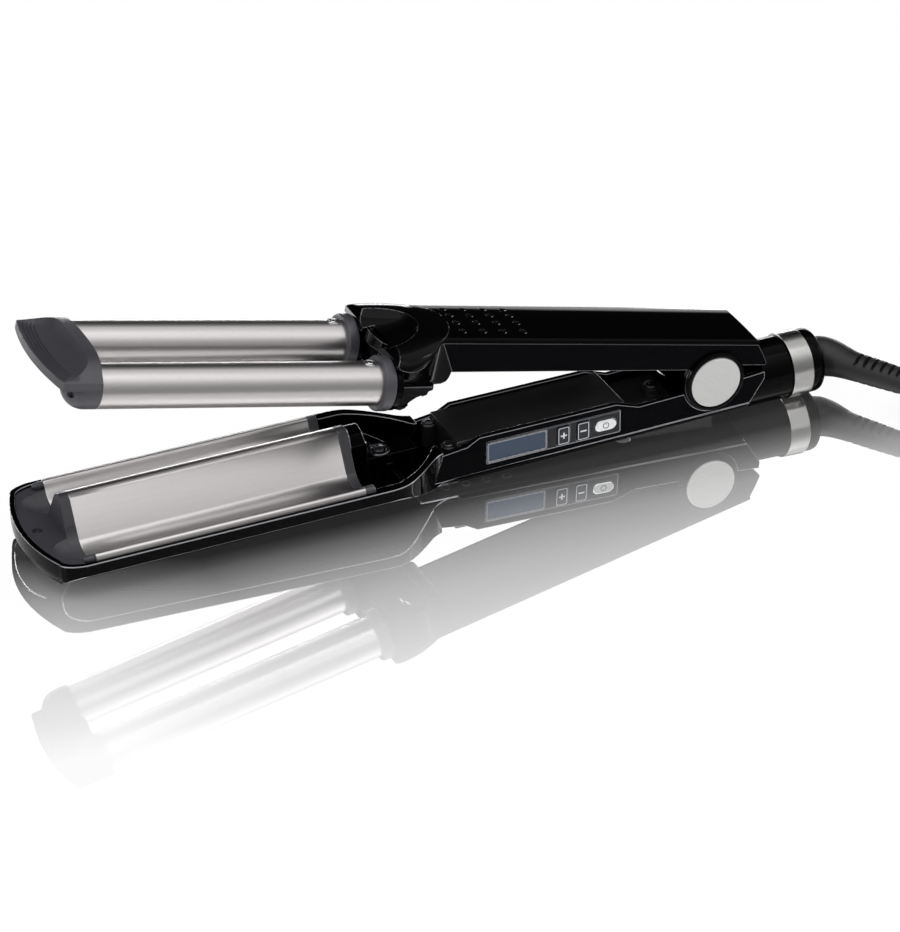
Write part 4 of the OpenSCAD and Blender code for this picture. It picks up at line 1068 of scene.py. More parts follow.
def make_barrels():
    offset, level, radius = barrel_place()
    outer = mm(sizes().collar_radius)
    wall, seat, bore, round_edge = 1.2, BARREL_REAR + 1.0, 6.0, 0.8
    shoulder = [
        (
            BARREL_REAR + round_edge - round_edge * math.cos(math.radians(a)),
            outer - round_edge + round_edge * math.sin(math.radians(a)),
        )
        for a in range(15, 91, 15)
    ]
    for side, s in SIDES:
        at = (0, s * offset, level)
        profile = [
            (BARREL_FRONT, radius - wall), (BARREL_FRONT, radius - 0.15), (BARREL_FRONT + 0.15, radius),
            (seat, radius), (seat, radius - wall),
        ]
        tube = turned(f"barrel_tube_{side}", profile, "X", at, 128)
        placed(tube, UPPER, "upper", "titanium", [f"barrel_{side}"])
        profile = [
            (BARREL_REAR, radius + 0.02), (BARREL_REAR, outer - 1.1), *shoulder,
            (COLLAR_STEP - 0.5, outer), (COLLAR_STEP - 0.12, outer - 0.15), (COLLAR_STEP, outer - 0.5),
            (COLLAR_STEP, bore), (seat, bore), (seat, radius + 0.02),
        ]
        collar = turned(f"collar_ring_{side}", profile, "X", at, 128)
        placed(collar, UPPER, "upper", "dark_grey", [f"collar_{side}"])
        profile = [
            (COLLAR_STEP + 0.02, bore), (COLLAR_STEP + 0.02, outer - 0.7),
            (COLLAR_STEP + 0.35, outer - 0.35), (COLLAR_STEP + 0.8, outer - 0.3),
            (COLLAR_REAR - 0.5, outer - 0.3), (COLLAR_REAR, outer - 0.7), (COLLAR_REAR, bore),
        ]
        sleeve = turned(f"collar_sleeve_{side}", profile, "X", at, 128)
        placed(sleeve, UPPER, "upper", "gloss_black")
        wide, base, top = 2.2, level + math.sqrt(radius**2 - 2.2**2), level + radius
        profile = [
            (base, 0), (base, wide), (top + 0.1, wide), (top + 0.3, 2.05), (top + 0.38, 1.75),
            (top + 0.22, 1.5), (top + 0.2, 1.15), (top + 0.42, 0.95), (top + 0.5, 0.5), (top + 0.5, 0),
        ]
        rivet = turned(f"rivet_head_{side}", profile, "Z", (BARREL_REAR - 3.5, s * offset, 0), 48)
        placed(rivet, UPPER, "upper", "steel", [f"rivet_{side}"])


GUARD_BOW_R, GUARD_FRONT = 99.0, -267.0
GUARD_LOW, GUARD_HALF, GUARD_LIP = 3.4, 24.2, 6.5
GUARD_ARCH = [(0, 12.1), (8, 12.05), (13, 11.8), (16.5, 11.1), (19.5, 9.8), (22, 8.1), (24.2, 6.4)]
SCOOP_EDGE = [
    (0, -253.1), (10, -252.9), (14.5, -253.0), (17, -253.6), (19, -254.8), (21, -257.0),
    (22.6, -259.8), (24.2, -264.0),
]
SCOOP_LENGTH = 8.6
# ridges of the lip: distance behind its front, half width, depth and where they stop
RIDGE_X, RIDGE_HALF, RIDGE_DEPTH, RIDGE_END = (1.7, 3.0, 4.3, 5.6), 0.36, 0.5, 23.4
CAP_X = BARREL_FRONT - 4.0


def guard_front(y):
    return GUARD_FRONT + GUARD_BOW_R - math.sqrt(GUARD_BOW_R**2 - y * y)


def guard_rear(y):
    return -248.0 - 0.0032 * y * y


def guard_top(x, y):
    """Height of the guard's upper face: a rim at the back, a thumb scoop, and a grooved lip."""
    arch = smooth_table(GUARD_ARCH, abs(y))
    ahead = smooth_table(SCOOP_EDGE, abs(y)) - x
    left = min(max(1 - ahead / SCOOP_LENGTH, 0.0), 1.0)
    top = GUARD_LIP + (arch - GUARD_LIP) * left**2.1
    depth = x - guard_front(y)
    for ridge in RIDGE_X:
        near = abs(depth - ridge) / RIDGE_HALF
        if near < 1 and abs(y) < RIDGE_END:
            top -= RIDGE_DEPTH * (1 + math.cos(math.pi * near)) / 2
    return top


def make_tip_guard():
    offset, level, radius = barrel_place()

    def shape(u, v):
        y = (u - 0.5) * 2 * GUARD_HALF
        front, rear = guard_front(y), guard_rear(y)
        edge = min(max((smooth_table(SCOOP_EDGE, abs(y)) - front) / (rear - front), 0.05), 0.97)
        share = v / 0.75 * edge if v < 0.75 else edge + (v - 0.75) / 0.25 * (1 - edge)
        x = front + (rear - front) * share
        return x, y, guard_top(x, y)

    plate = sheet("tip_guard_plate", 88, 160, shape)
    edit(
        plate,
        lambda: bpy.ops.mesh.extrude_region_move(TRANSFORM_OT_translate={"value": (0, 0, -30)}),
        lambda: bpy.ops.mesh.select_all(action="SELECT"),
        lambda: bpy.ops.mesh.bisect(
            plane_co=(0, 0, GUARD_LOW), plane_no=(0, 0, 1), use_fill=True, clear_inner=True
        ),
        lambda: bpy.ops.mesh.select_all(action="SELECT"), outward,
    )
    rounded(plate, 0.3, 3, 62)
    shells = []
    for s in (-1, 1):
        y = s * offset
        carved(plate, cylinder("tube_room", BARREL_FRONT + 10, y, level, radius, 20, "X", 128))
        cap = turned("cap", [
            *dome(CAP_X, radius), (BARREL_FRONT, radius), (BARREL_FRONT, 6.8), (BARREL_FRONT + 4, 6.8),
            (BARREL_FRONT + 4, 0),
        ], "X", (0, y, level), 96)
        carved(
            cap, box("under_plate", -270, BARREL_FRONT - 0.02, y - 12, y + 12, 5.0, 20),
            cylinder("screw_well", -260.6, s * (offset + 4.65), 0.7, 1.25, 4.0, "X", 32),
        )
        shells.append(cap)
    # room for the crest of the plate and of the insert when the arm is closed
    trough = [(-8.4, -6), (8.4, -6), *arc(CREST, CREST_R + 0.8, 10, 170, 16)]
    carved(plate, along("trough", trough, PLATE_FRONT, -240))
    notch = turned("notch", [
        (-6, 0), (-6, 9.6), (1.6, 8.4), (4.5, 6.6), (7.2, 5.3), (8.2, 4.8), (9.1, 4.0), (9.6, 2.6),
        (9.9, 0),
    ], "Z", (PLATE_FRONT, 0, 0), 96)
    for shell in (plate, *shells):
        carved(shell, copied(notch, "notch_room"))
    bpy.data.objects.remove(notch)
    plate = merged([plate, *shells], "tip_guard_plate")
    placed(plate, UPPER, "upper", "dark_grey", ["tip_guard"])


# ------------------------------------------------------------------ lower arm

BOW_X, BOW_R, KEEL_X, KEEL_R = -267.0, 63.0, -237.0, 43.8
SHELL_Z, RIM_Z = -18.6, -2.5
# the underside is a large round that rises 11.5 from its middle to the rim
HULL_R = (TRAY_HALF**2 + 11.5**2) / 23.0
SIDE_FRONT = -253
TRAY_SIDE = [
    (SIDE_FRONT, TRAY_HALF), (-139, TRAY_HALF), (-136.5, 30.45), (-134, 30.2), (-132, 29.8),
    (-130, 29.05), (-128, 28.0), (-126, 26.6), (-124, 25.15), (-122, 23.55), (-120, 21.85),
    (-118, 20.1), (-116, 18.3), (-114.5, 17.0), (-113, 16.0), (-111, 15.0), (-109, 14.4),
    (-107, 14.12), (-104, 14.1),
]
NECK_INNER = [
    (-142.9, 26.4), (-134, 26.4), (-132, 25.9), (-129.7, 24.8), (-127.5, 23.7), (-125.8, 22.6),
    (-123.5, 21.0), (-121.5, 19.4), (-119.5, 17.5), (-117.6, 15.7), (-115.6, 13.4), (-114, 11.6),
    (-112.8, 9.8), (-111.6, 8.6), (-109.6, 8.4), (-105.5, 8.4),
]


def tray_plan(inset=0.0):
    """Half of the tray's plan: its bow, a rounded corner and its side."""
    radius = BOW_R - inset
    turn = math.degrees(math.asin((25.5 - inset) / radius))
    front = [
        (BOW_X + BOW_R - radius * math.cos(math.radians(a)), radius * math.sin(math.radians(a)))
        for a in [turn * i / 24 for i in range(25)]
    ]
    start, end = front[-1], (SIDE_FRONT, TRAY_HALF - inset)
    mid = (-261.2 + inset * 0.6, 29.3 - inset)
    curve = [
        tuple(
            (1 - t) ** 2 * a + 2 * t * (1 - t) * b + t * t * c for a, b, c in zip(start, mid, end)
        )
        for t in [i / 10 for i in range(1, 10)]
    ]
    return front[1:] + curve + [(x, y - inset) for x, y in TRAY_SIDE]


def whole_plan(inset=0.0):
    half = tray_plan(inset)
    return [(BOW_X + inset, 0.0)] + half + [(x, -y) for x, y in reversed(half)]


def tray_form(name, inset, low, high):
    """The hull of the tray: its plan, cut by the round of its underside and the rise of its bow."""
    form = upright(name, whole_plan(inset), low, high)
    kept(form, cylinder("hull", -180, 0, SHELL_Z + HULL_R, HULL_R - inset, 240, "X", 360))
    ahead = OUTER_AHEAD if inset == 0 else 0.0
    bow = arc((KEEL_X - ahead, SHELL_Z + KEEL_R), KEEL_R - inset, 270, 215, 48)
    kept(form, through("keel", [(-104.0, SHELL_Z + inset), *bow, (-290, 40), (-104.0, 40)], -40, 40))
    if inset == 0:
        kept(form, tip_round())
    return form


# how far the outer keel lies ahead of the inner one
OUTER_AHEAD = 2.2
# level, and how far the tip draws back there
TIP_ROUND = (
    (24.0, -0.2), (-7.0, 0.0), (-9.0, 0.2), (-11.0, 0.8), (-12.5, 1.7), (-14.0, 3.2), (-15.2, 5.2),
    (-16.4, 8.2), (-19.8, 15.0),
)


def tip_round():
    """The lower edge of the tip, rounder the nearer it is to the front."""
    fade, rings = 24.0, []
    for z, depth in TIP_ROUND:
        ring = []
        for x, y in whole_plan():
            share = depth * min(max((-232.0 - x) / fade, 0.0), 1.0) if depth > 0 else depth
            ring.append((x + share, y - math.copysign(share * min(abs(y) / fade, 1.0), y), z))
        rings.append(ring)
    return skinned("tip_round", rings)


# the slanted end of the handle, from its foot to its top
TAIL_FOOT, TAIL_HEAD = (15.5, lower_seam(15.5)), (21.5, -4.3)
FRAME_SIDE = [
    (-115.4, lower_seam(-115.4)), (-110.2, -4.1), (-100.6, -3.0), (-95.5, -0.2), (-40.5, -0.2),
    (-31, -3.5), (11.3, -2.2), (21.4, -1.5), TAIL_HEAD, TAIL_FOOT,
]


def tail_line(z):
    """Where the slanted end of the handle is at that height."""
    run = (z - TAIL_FOOT[1]) * (TAIL_HEAD[0] - TAIL_FOOT[0])
    return TAIL_FOOT[0] + run / (TAIL_HEAD[1] - TAIL_FOOT[1])


def make_lower_shell():
    half = mm(sizes().handle_half)
    shell = tray_form("lower_shell_body", 0.0, -19.5, RIM_Z)
    front = FRAME_SIDE[:2] + [(-110.2, 40), (30, 40), (30, lower_seam(30))]
    carved(shell, through("handle_room", front, -40, 40))
    back = along("back", crown_section(BOTTOM_TOP, half, SEAM_LOW - 2), -120.5, 17.5)
    alone(back)
    back.scale = (1, 1, -1)
    bpy.ops.object.transform_apply(scale=True)
    edit(back, outward)
    tilted(back, -0.82)
    kept(back, through("side", [
        (-119, -22), (-119, lower_seam(-119)), (-40, lower_seam(-40)), (15.5, lower_seam(15.5)),
        (tail_line(-22), -22),
    ], -20, 20))
    added(shell, back)
    wall = 30.5 - 28.36
    hollow = tray_form("hollow", wall, -14.2, 20)
    kept(hollow, box("front_part", -290, -142.8, -40, 40, -14.2, 40))
    carved(shell, hollow)
    neck = upright("neck", both_plan(NECK_INNER), -14.2, 20)
    kept(neck, cylinder("hull", -120, 0, SHELL_Z + HULL_R, HULL_R - 2.0, 80, "X", 240))
    carved(shell, neck)
    room = along("room", crown_section(BOTTOM_TOP - 2, half - 2, 5), -105.5, 10)
    alone(room)
    room.scale = (1, 1, -1)
    bpy.ops.object.transform_apply(scale=True)
    edit(room, outward)
    tilted(room, -0.82)
    inner = half - 2.2
    kept(room, box("room_side", -105.5, 10, -inner, inner, -30, 40))
    carved(shell, room)
    radius, depth = mm(sizes().dimple_radius), mm(sizes().dimple_depth)
    balls = [
        ball("dimple", (x, y, -crown(BOTTOM_TOP, y) - radius + depth), (radius,) * 3, 32)
        for x, y in dimple_places()
    ]
    carved(shell, tilted(merged(balls, "dimples"), -0.82))
    floor_line = [
        (x, -(HINGE.z / MM + x * math.sin(REST_PITCH)) / math.cos(REST_PITCH)) for x in (-300, 40)
    ]
    carved(shell, through("below_floor", [*floor_line, (40, -60), (-300, -60)], -60, 60))
    for x in (-88, -30):
        face = -BOTTOM_TOP + x * SEAM_LOW_SLOPE
        carved(
            shell, cylinder("screw_hole", x, 0, face, 2.6, 2.0), cylinder("screw_bore", x, 0, face, 1.4, 12)
        )
    rounded(shell, mm(sizes().rim_bevel), 3, 28, False)
    slope = (floor_line[1][1] - floor_line[0][1]) / (floor_line[1][0] - floor_line[0][0])
    without_points(
        shell, lambda at: at.z < floor_line[1][1] + (at.x - floor_line[1][0]) * slope - 0.03
    )
    placed(shell, LOWER, "lower", "gloss_black", ["lower_shell"])


def make_lower_frame():
    half = handle_half()
    inner = half - HANDLE_WALL
    web = 1.6
    piece = through("lower_side_frame", FRAME_SIDE, -half, half)
    carved(
        piece,
        through("hollow", [
            (-118, -18), (-118, 40), (31, 40), (tail_line(-2.6) - web, -2.6),
            (tail_line(lower_seam(14) + web) - web, lower_seam(14) + web),
            (-104, lower_seam(-104) + web), (-104, -18),
        ], -inner, inner),
        cylinder("ear_room_near", 0, -half, 0, 12.4, 2 * HANDLE_WALL, "Y", 128),
        cylinder("ear_room_far", 0, half, 0, 12.4, 2 * HANDLE_WALL, "Y", 128),
        box("control_pocket", -92.6, -38.8, -half - 1, -half + 1.0, -11.9, -3.1),
        cylinder("tail_bore", 18, 0, TAIL_Z, 9.0, 26, "X"),
    )
    holes = [(x - 2.7, x + 2.7, -11.5, -3.5) for label, x in KEY_X]
    for x0, x1, z0, z1 in [*holes, (-49.4, -40.2, -9.9, -5.1), (-90.9, -70.3, -9.9, -5.1)]:
        carved(piece, box("hole", x0, x1, -half - 1, -inner + 1, z0, z1))
    for x in SHELL_SCREW_X:
        carved(piece, cylinder("screw_bore", x, 0, lower_seam(x), 1.4, 8))
    rounded(piece, 0.32, 2, 30, False)
    knuckles = []
    for s in (-1, 1):
        knuckle = added(
            cylinder("knuckle", 0, s * 9.05, 0, 7.0, 4.9, "Y"),
            box("foot", -7, 7, *sorted((s * 6.6, s * 11.5)), lower_seam(0) + 0.8, 0),
        )
        carved(knuckle, cylinder("bore", 0, 0, 0, 3.0, 60, "Y"))
        knuckles.append(rounded(knuckle, 0.2))
    piece = merged([piece, *knuckles], "lower_side_frame")
    placed(piece, LOWER, "lower", "band_black", ["lower_frame"])


def make_inner_deck():
    inner = handle_half() - HANDLE_WALL
    deck = through("inner_deck_panel", [
        (-103.5, -1.2), (-36, -1.2), (-34, -7), (-13.8, -7), (-13.8, -8.5), (-35.5, -8.5),
        (-37.5, -2.7), (-102, -2.7), (-102, -13), (-103.5, -13),
    ], -inner, inner)
    added(deck, cylinder("boss", DECK_SCREW_X, 0, -6.65, 4.0, 3.7))
    for s in (-1, 1):
        y = s * NECK_SCREW_Y
        profile = [(-12.6, 0), (-12.6, 2.8), (-3.7, 2.8), (-3.4, 2.5), (-3.4, 0)]
        pillar = turned("pillar", profile, "Z", (NECK_SCREW_X, y, 0), 48)
        kept(pillar, box("pillar_side", -109.5, -103, *sorted((s * 4, s * inner)), -13, 0))
        added(deck, pillar)
        carved(deck, cylinder("hole", NECK_SCREW_X, y, -5.5, 1.0, 5))
    carved(deck, cylinder("hole", DECK_SCREW_X, 0, -7, 1.4, 10))
    rounded(deck, 0.25, 2, 32, False)
    placed(deck, LOWER, "lower", "deck_black", ["inner_deck"])


def wave_half(t=0.0):
    """Half of the wave, from the crest to the foot of the lip, with one long face between the rounds."""
    return (
        arc(CREST, CREST_R - t, 90, WAVE_TURN + 32, 9)
        + arc(VALLEY, VALLEY_R + t, 180 + WAVE_TURN + 22, 335, 22)
        + arc(LIP, LIP_R - t, 155, 0, 12)[1:]
        + [(LIP[0] + LIP_R - t, -4.5)]
    )


def make_wave_plate():
    """The waved sheet, drawn out along the barrels."""
    section = both(wave_half()) + list(reversed(both(wave_half(1.2))))
    plate = along("wave_plate_sheet", section, PLATE_FRONT, PLATE_REAR)
    rounded(plate, 0.25, 2, 60, False)
    placed(plate, LOWER, "lower", "titanium", ["wave_plate"], weighted=False)


def make_end_strip():
    edge, low = LIP[0] + LIP_R, -10.2
    section = [(-edge, low), *both(wave_half()), (edge, low)]
    strip = along("end_strip_wave", section, PLATE_REAR, STRIP_REAR)
    kept(strip, cylinder("hull", -145, 0, SHELL_Z + HULL_R, HULL_R - 2.2, 20, "X", 240))
    rounded(strip, 0.3, 2, 50, False)
    placed(strip, LOWER, "lower", "dark_grey", ["end_strip"])
    half = [*arc(CREST, CREST_R - 0.4, 90, 20, 10), (5.2, 3.0), (5.6, 0.0), (5.6, low)]
    flange = along("crest_flange_piece", both(half), STRIP_REAR, FLANGE_REAR)
    slope = [(-138.6, 14), (-136.4, 3.0), (-135.4, 3.0), (-135.4, 14)]
    carved(flange, through("slope", slope, -10, 10))
    rounded(flange, 0.45, 3, 30, False)
    placed(flange, LOWER, "lower", "gloss_black", ["crest_flange"])


def make_tip_insert():
    offset, level, radius = barrel_place()
    front, room = -253.0, radius + 0.3
    insert = tray_form("tip_insert_block", TRAY_HALF - TRAY_INNER + 0.02, TRAY_FLOOR, -3.5)
    kept(insert, box("front_part", -290, PLATE_FRONT, -40, 40, -30, 40))
    half = [(y, z) for y, z in wave_half() if y <= 12.5]
    crest = along("crest", both(half + [(half[-1][0], -6.5)]), front, PLATE_FRONT)
    lean = [(-260, -3.5), (-252.9, -3.5), (-252.5, 6), (-251.9, 12), (-260, 12)]
    carved(crest, through("lean", lean, -20, 20))
    rounded(crest, 0.9, 4, 50)
    added(insert, crest)
    for s in (-1, 1):
        hollow = [*dome(-250.9, VALLEY_R), (-240, VALLEY_R), (-240, 0)]
        carved(insert, turned("hollow", hollow, "X", (0, s * VALLEY[0], VALLEY[1]), 96))
        # room for the barrel's round end when the arm is closed
        hollow = [*dome(CAP_X, room), (-240, room), (-240, 0)]
        carved(insert, turned("dome_room", hollow, "X", (0, s * offset, level), 96))
        added(insert, turned("lip", [
            (front, 0), (-252.9, 0.6), (-252.4, 1.1), (-251.6, 1.4), (-249.7, 1.5), (-249.6, 1.3),
            (-249.3, 1.3), (-249.2, 1.5), (PLATE_FRONT, 1.5), (PLATE_FRONT, 0),
        ], "X", (0, s * LIP[0], LIP[1]), 64))
    x = -260.4
    carved(insert, cylinder("well", x, 0, -3.5, 1.9, 4, steps=48))
    rounded(insert, 0.22, 2, 34)
    placed(insert, LOWER, "lower", "dark_grey", ["tip_insert"])
    profile = [(-6.5, 0), (-6.5, 1.6), (-4.6, 1.6), (-4.3, 1.35), (-4.1, 0)]
    screw = turned("tray_screw_head", profile, "Z", (x, 0, 0), 40)
    carved(
        screw, box("slot_a", -261.4, -259.4, -0.2, 0.2, -5.0, 0), box("slot_b", -260.6, -260.2, -1, 1, -5, 0)
    )
    placed(screw, LOWER, "lower", "steel", ["tray_screw"])


def pan_screw(name, x, y, base, top, head, shank, low, node):
    """A cross-head screw with a domed head."""
    rim = 0.45
    profile = [(low, 0), (low, shank), (base, shank), (base, head), (base + (top - base) * rim, head)]
    for a in (25, 50, 75, 90):
        radius = head * math.cos(math.radians(a)) ** 0.7 if a < 90 else 0.0
        rise = rim + (1 - rim) * math.sin(math.radians(a))
        profile.append((base + (top - base) * rise, radius))
    screw = turned(name, profile, "Z", (x, y, 0), 48)
    deep = top - (top - base) * 0.75
    reach = head * 0.55
    carved(
        screw, box("slot_a", x - reach, x + reach, y - 0.24, y + 0.24, deep, top + 1),
        box("slot_b", x - 0.24, x + 0.24, y - reach, y + reach, deep, top + 1),
    )
    placed(screw, LOWER, "lower", "dark_screw", [node])


def make_neck():
    bar = box("neck_bracket_bar", -135.4, -116, -4.5, 4.5, -6.2, -4.2)
    added(bar, box("web", -131.4, -118, -3, 3, -14.1, -5.9))
    added(bar, box("rib", -127.4, -125.4, -13.9, 13.9, -14.1, -9))
    screw_x = -129.4
    carved(bar, cylinder("hole", screw_x, 0, -5, 1.4, 12, steps=40))
    collar = [
        (-4.3, 1.6), (-4.3, 4.1), (-3.9, 4.1), (-3.7, 3.8), (-3.7, 2.9), (-4.0, 2.75), (-4.1, 1.6),
    ]
    added(bar, turned("collar", collar, "Z", (screw_x, 0, 0), 48))
    rounded(bar, 0.2, 2, 32, False)
    placed(bar, LOWER, "lower", "gloss_black", ["neck_bracket"])
    pan_screw("bracket_screw_head", screw_x, 0, -4.18, -3.5, 1.9, 1.38, -10, "bracket_screw")
    pan_screw("deck_screw_head", DECK_SCREW_X, 0, -4.78, -3.6, 2.6, 1.38, -11, "deck_screw")
    for side, s in SIDES:
        pan_screw(
            f"neck_screw_head_{side}", NECK_SCREW_X, s * NECK_SCREW_Y, -3.38, -2.6, 1.9, 0.98, -8,
            f"neck_screw_{side}",
        )


# ------------------------------------------------------------------ controls

PANEL_FACE, PANEL_BACK, KEY_BACK = -14.3, -13.1, -12.2
KEY_FACE = PANEL_FACE - 0.6
KEY_Z = -7.5
POWER_X = -44.8
# signs stand 0.03 proud of their key
SIGN_FACE, SIGN_BACK = KEY_FACE - 0.03, KEY_FACE + 0.1


def rounded_plate(name, x0, x1, z0, z1, y0, y1, corner, steps=6):
    """A flat plate in the side's plane, with round corners."""
    side = []
    for x, z, start in (
        (x1 - corner, z1 - corner, 90), (x1 - corner, z0 + corner, 0),
        (x0 + corner, z0 + corner, -90), (x0 + corner, z1 - corner, 180),
    ):
        side += arc((x, z), corner, start, start - 90, steps)
    return through(name, side, y0, y1)


def around_key(name, x, half_x, half_z, y0, y1, corner, steps=6):
    """A rounded plate round the middle of a key."""
    return rounded_plate(name, x - half_x, x + half_x, KEY_Z - half_z, KEY_Z + half_z, y0, y1, corner, steps)


def sign_bar(x, half_x, half_z):
    """A stroke of a sign."""
    corners = [(-half_x, -half_z), (half_x, -half_z), (half_x, half_z), (-half_x, half_z)]
    return through("stroke", [(x + a, KEY_Z + b) for a, b in corners], SIGN_FACE, SIGN_BACK)


def make_controls():
    before, behind = PANEL_FACE - 1, PANEL_BACK + 1
    panel = rounded_plate("control_panel_plate", -92.6, -38.8, -11.9, -3.1, PANEL_FACE, PANEL_BACK, 0.9)
    carved(panel, box("window", -93.5, -68.6, before, behind, -11.6, -3.4))
    for label, x in KEY_X:
        carved(panel, around_key("key", x, 2.7, 4, before, behind, 0.9))
    carved(panel, around_key("pill", POWER_X, 4.5, 2.4, before, behind, 2.35, 10))
    rounded(panel, 0.15, 2, 40, False)
    placed(panel, LOWER, "lower", "panel_black", ["control_panel"])

    bezel = rounded_plate(
        "display_bezel_frame", -92.6, -68.6, -11.6, -3.4, PANEL_FACE - 0.1, PANEL_BACK, 0.7
    )
    carved(bezel, rounded_plate("opening", -91.9, -69.3, -10.9, -4.1, before, behind, 0.4))
    rounded(bezel, 0.12, 2, 40, False)
    placed(bezel, LOWER, "lower", "bezel_silver", ["display_bezel"])

    window = rounded_plate(
        "display_window_glass", -91.9, -69.3, -10.9, -4.1, PANEL_FACE + 0.08, PANEL_BACK, 0.4
    )
    rounded(window, 0.1, 2, 40, False)
    placed(window, LOWER, "lower", "display_glass", ["display_window"])

    for label, x in KEY_X:
        key = around_key(f"{label}_key_cap", x, 2.5, 3.8, KEY_FACE, KEY_BACK, 0.8)
        rounded(key, 0.22, 3, 40, False)
        placed(key, LOWER, f"{label}_key", "key_navy", [f"button_{label}"])
        edge = around_key("edge", x, 2.15, 3.4, SIGN_FACE, SIGN_BACK, 0.6)
        carved(edge, around_key("inside", x, 1.93, 3.18, KEY_FACE - 1, KEY_FACE + 1, 0.45))
        sign = sign_bar(x, 1.25, 0.3)
        if label == "plus":
            added(sign, sign_bar(x, 0.3, 1.25))
        sign = merged([edge, sign], f"{label}_sign")
        placed(sign, LOWER, f"{label}_key", "mark_silver")

    pill = around_key("power_key_cap", POWER_X, 4.3, 2.2, KEY_FACE, KEY_BACK, 2.15, 12)
    rounded(pill, 0.4, 4, 40, False)
    placed(pill, LOWER, "power_key", "chrome", ["button_power"])
    profile = [(SIGN_FACE, 0.95), (SIGN_FACE, 1.3), (SIGN_BACK, 1.3), (SIGN_BACK, 0.95)]
    ring = turned("ring", profile, "Y", (POWER_X, 0, KEY_Z), 40)
    carved(ring, box(
        "gap", POWER_X - 0.35, POWER_X + 0.35, KEY_FACE - 1, KEY_FACE + 1, KEY_Z + 0.6, KEY_Z + 2
    ))
    stroke = box(
        "stroke", POWER_X - 0.15, POWER_X + 0.15, SIGN_FACE, SIGN_BACK, KEY_Z + 0.25, KEY_Z + 1.5
    )
    sign = merged([ring, stroke], "power_sign")
    placed(sign, LOWER, "power_key", "dark_screw")


# ------------------------------------------------------------------ hinge, tail and cord


HINGE_RING = [
    (14.5, 10.2), (14.5, 11.8), (15.25, 11.95), (15.6, 11.6), (15.7, 11.1), (15.62, 10.5), (15.45, 10.2),
]
HINGE_DISC = [
    (14.5, 0), (14.5, 10.15), (15.55, 10.15), (15.8, 10.0), (15.88, 9.75), (15.88, 9.45), (15.78, 9.3),
    (15.78, 0),
]


def make_hinge():
    for side, s in SIDES:
        for kind, profile, material, slot in (
            ("ring_black", HINGE_RING, "gloss_black", "black_gloss"),
            ("disc_metal", HINGE_DISC, "brushed_disc", "brushed_metal"),
        ):
            piece = turned(f"hinge_{kind}_{side}", [(s * a, r) for a, r in profile], "Y", steps=128)
            placed(piece, LOWER, "lower", material, [f"hinge_{kind[:4]}_{side}"])


def on_tail(name, profile, steps=128):
    return turned(name, profile, "X", (0, 0, TAIL_Z), steps)


def make_tail():
    body = on_tail("tail_barrel_body", [
        (5, 9.0), (5, 12.0), (34.6, 12.0), (35.0, 11.8), (35.1, 11.4), (35.1, 10.5), (43.8, 10.5),
        (43.8, 9.0),
    ])
    carved(body, through("slope", [
        (-10, -40), (-10, 20), (tail_line(20) + 0.02, 20), (tail_line(-40) + 0.02, -40),
    ], -30, 30))
    placed(body, LOWER, "lower", "gloss_black", ["tail_barrel"])
    ring = on_tail("tail_ring_metal", [
        (35.12, 10.5), (35.12, 12.3), (35.3, 12.6), (35.6, 12.7), (43.2, 12.7), (43.6, 12.55),
        (43.78, 12.2), (43.78, 10.5),
    ], 160)
    placed(ring, LOWER, "lower", "brushed_ring", ["tail_ring"])
    end = on_tail("end_ring_black", [
        (43.8, 8.06), (43.8, 12.0), (44.1, 12.2), (46.9, 12.2), (48.1, 11.9), (48.7, 11.3),
        (48.9, 10.5), (48.9, 8.06),
    ])
    placed(end, LOWER, "lower", "gloss_black", ["end_ring"])


ELBOW_X = 49.2
ELBOW = [
    (0, 0), (1.8, 0), (4, -0.6), (6, -2.2), (7.8, -4.8), (9.4, -8), (11.2, -11.6), (14, -16.2),
    (17, -21), (20, -25.8), (22.8, -30.3), (25.6, -34.8),
]
ELBOW_R = [8, 8, 7.8, 7.3, 6.7, 6.1, 5.6, 5.4, 5.3, 5.1, 4.9, 4.6]
ELBOW_TABLES = (
    [(i, ELBOW_X + p[0]) for i, p in enumerate(ELBOW)], [(i, p[1]) for i, p in enumerate(ELBOW)],
)
# the slots, counted in points of the elbow: where they start and stop and how far apart they are
SLOT_START, SLOT_END, SLOT_STEP = 6.6, 10.75, 0.62
SLOT_R, SLOT_LEVEL, SLOT_SHIFT = 1.0, 5.4, 1.1


def elbow_at(at, reach):
    """Where the elbow's middle is, and how far it runs from reach before to reach behind."""
    last = len(ELBOW) - 1
    x, y = (smooth_table(t, at) for t in ELBOW_TABLES)
    dx, dy = (
        smooth_table(t, min(at + reach, last)) - smooth_table(t, max(at - reach, 0)) for t in ELBOW_TABLES
    )
    return x, y, dx, dy


def relief_slot(at, up):
    """A slot from above or below, across the elbow at that point."""
    x, y, dx, dy = elbow_at(at, 0.05)
    heading = math.atan2(dy, dx)
    shift = 0.0 if up > 0 else SLOT_SHIFT
    slot = resized(
        cylinder("slot", 0, 0, up * SLOT_LEVEL, SLOT_R, 9.0, "Y", 16), (0.72, 1.0, 2.2)
    )
    slot.location = (
        x + shift * math.cos(heading), y + shift * math.sin(heading), TAIL_Z - up * SLOT_LEVEL * 1.2
    )
    slot.rotation_euler = (0, 0, heading)
    bpy.ops.object.transform_apply(location=True, rotation=True, scale=True)
    return slot


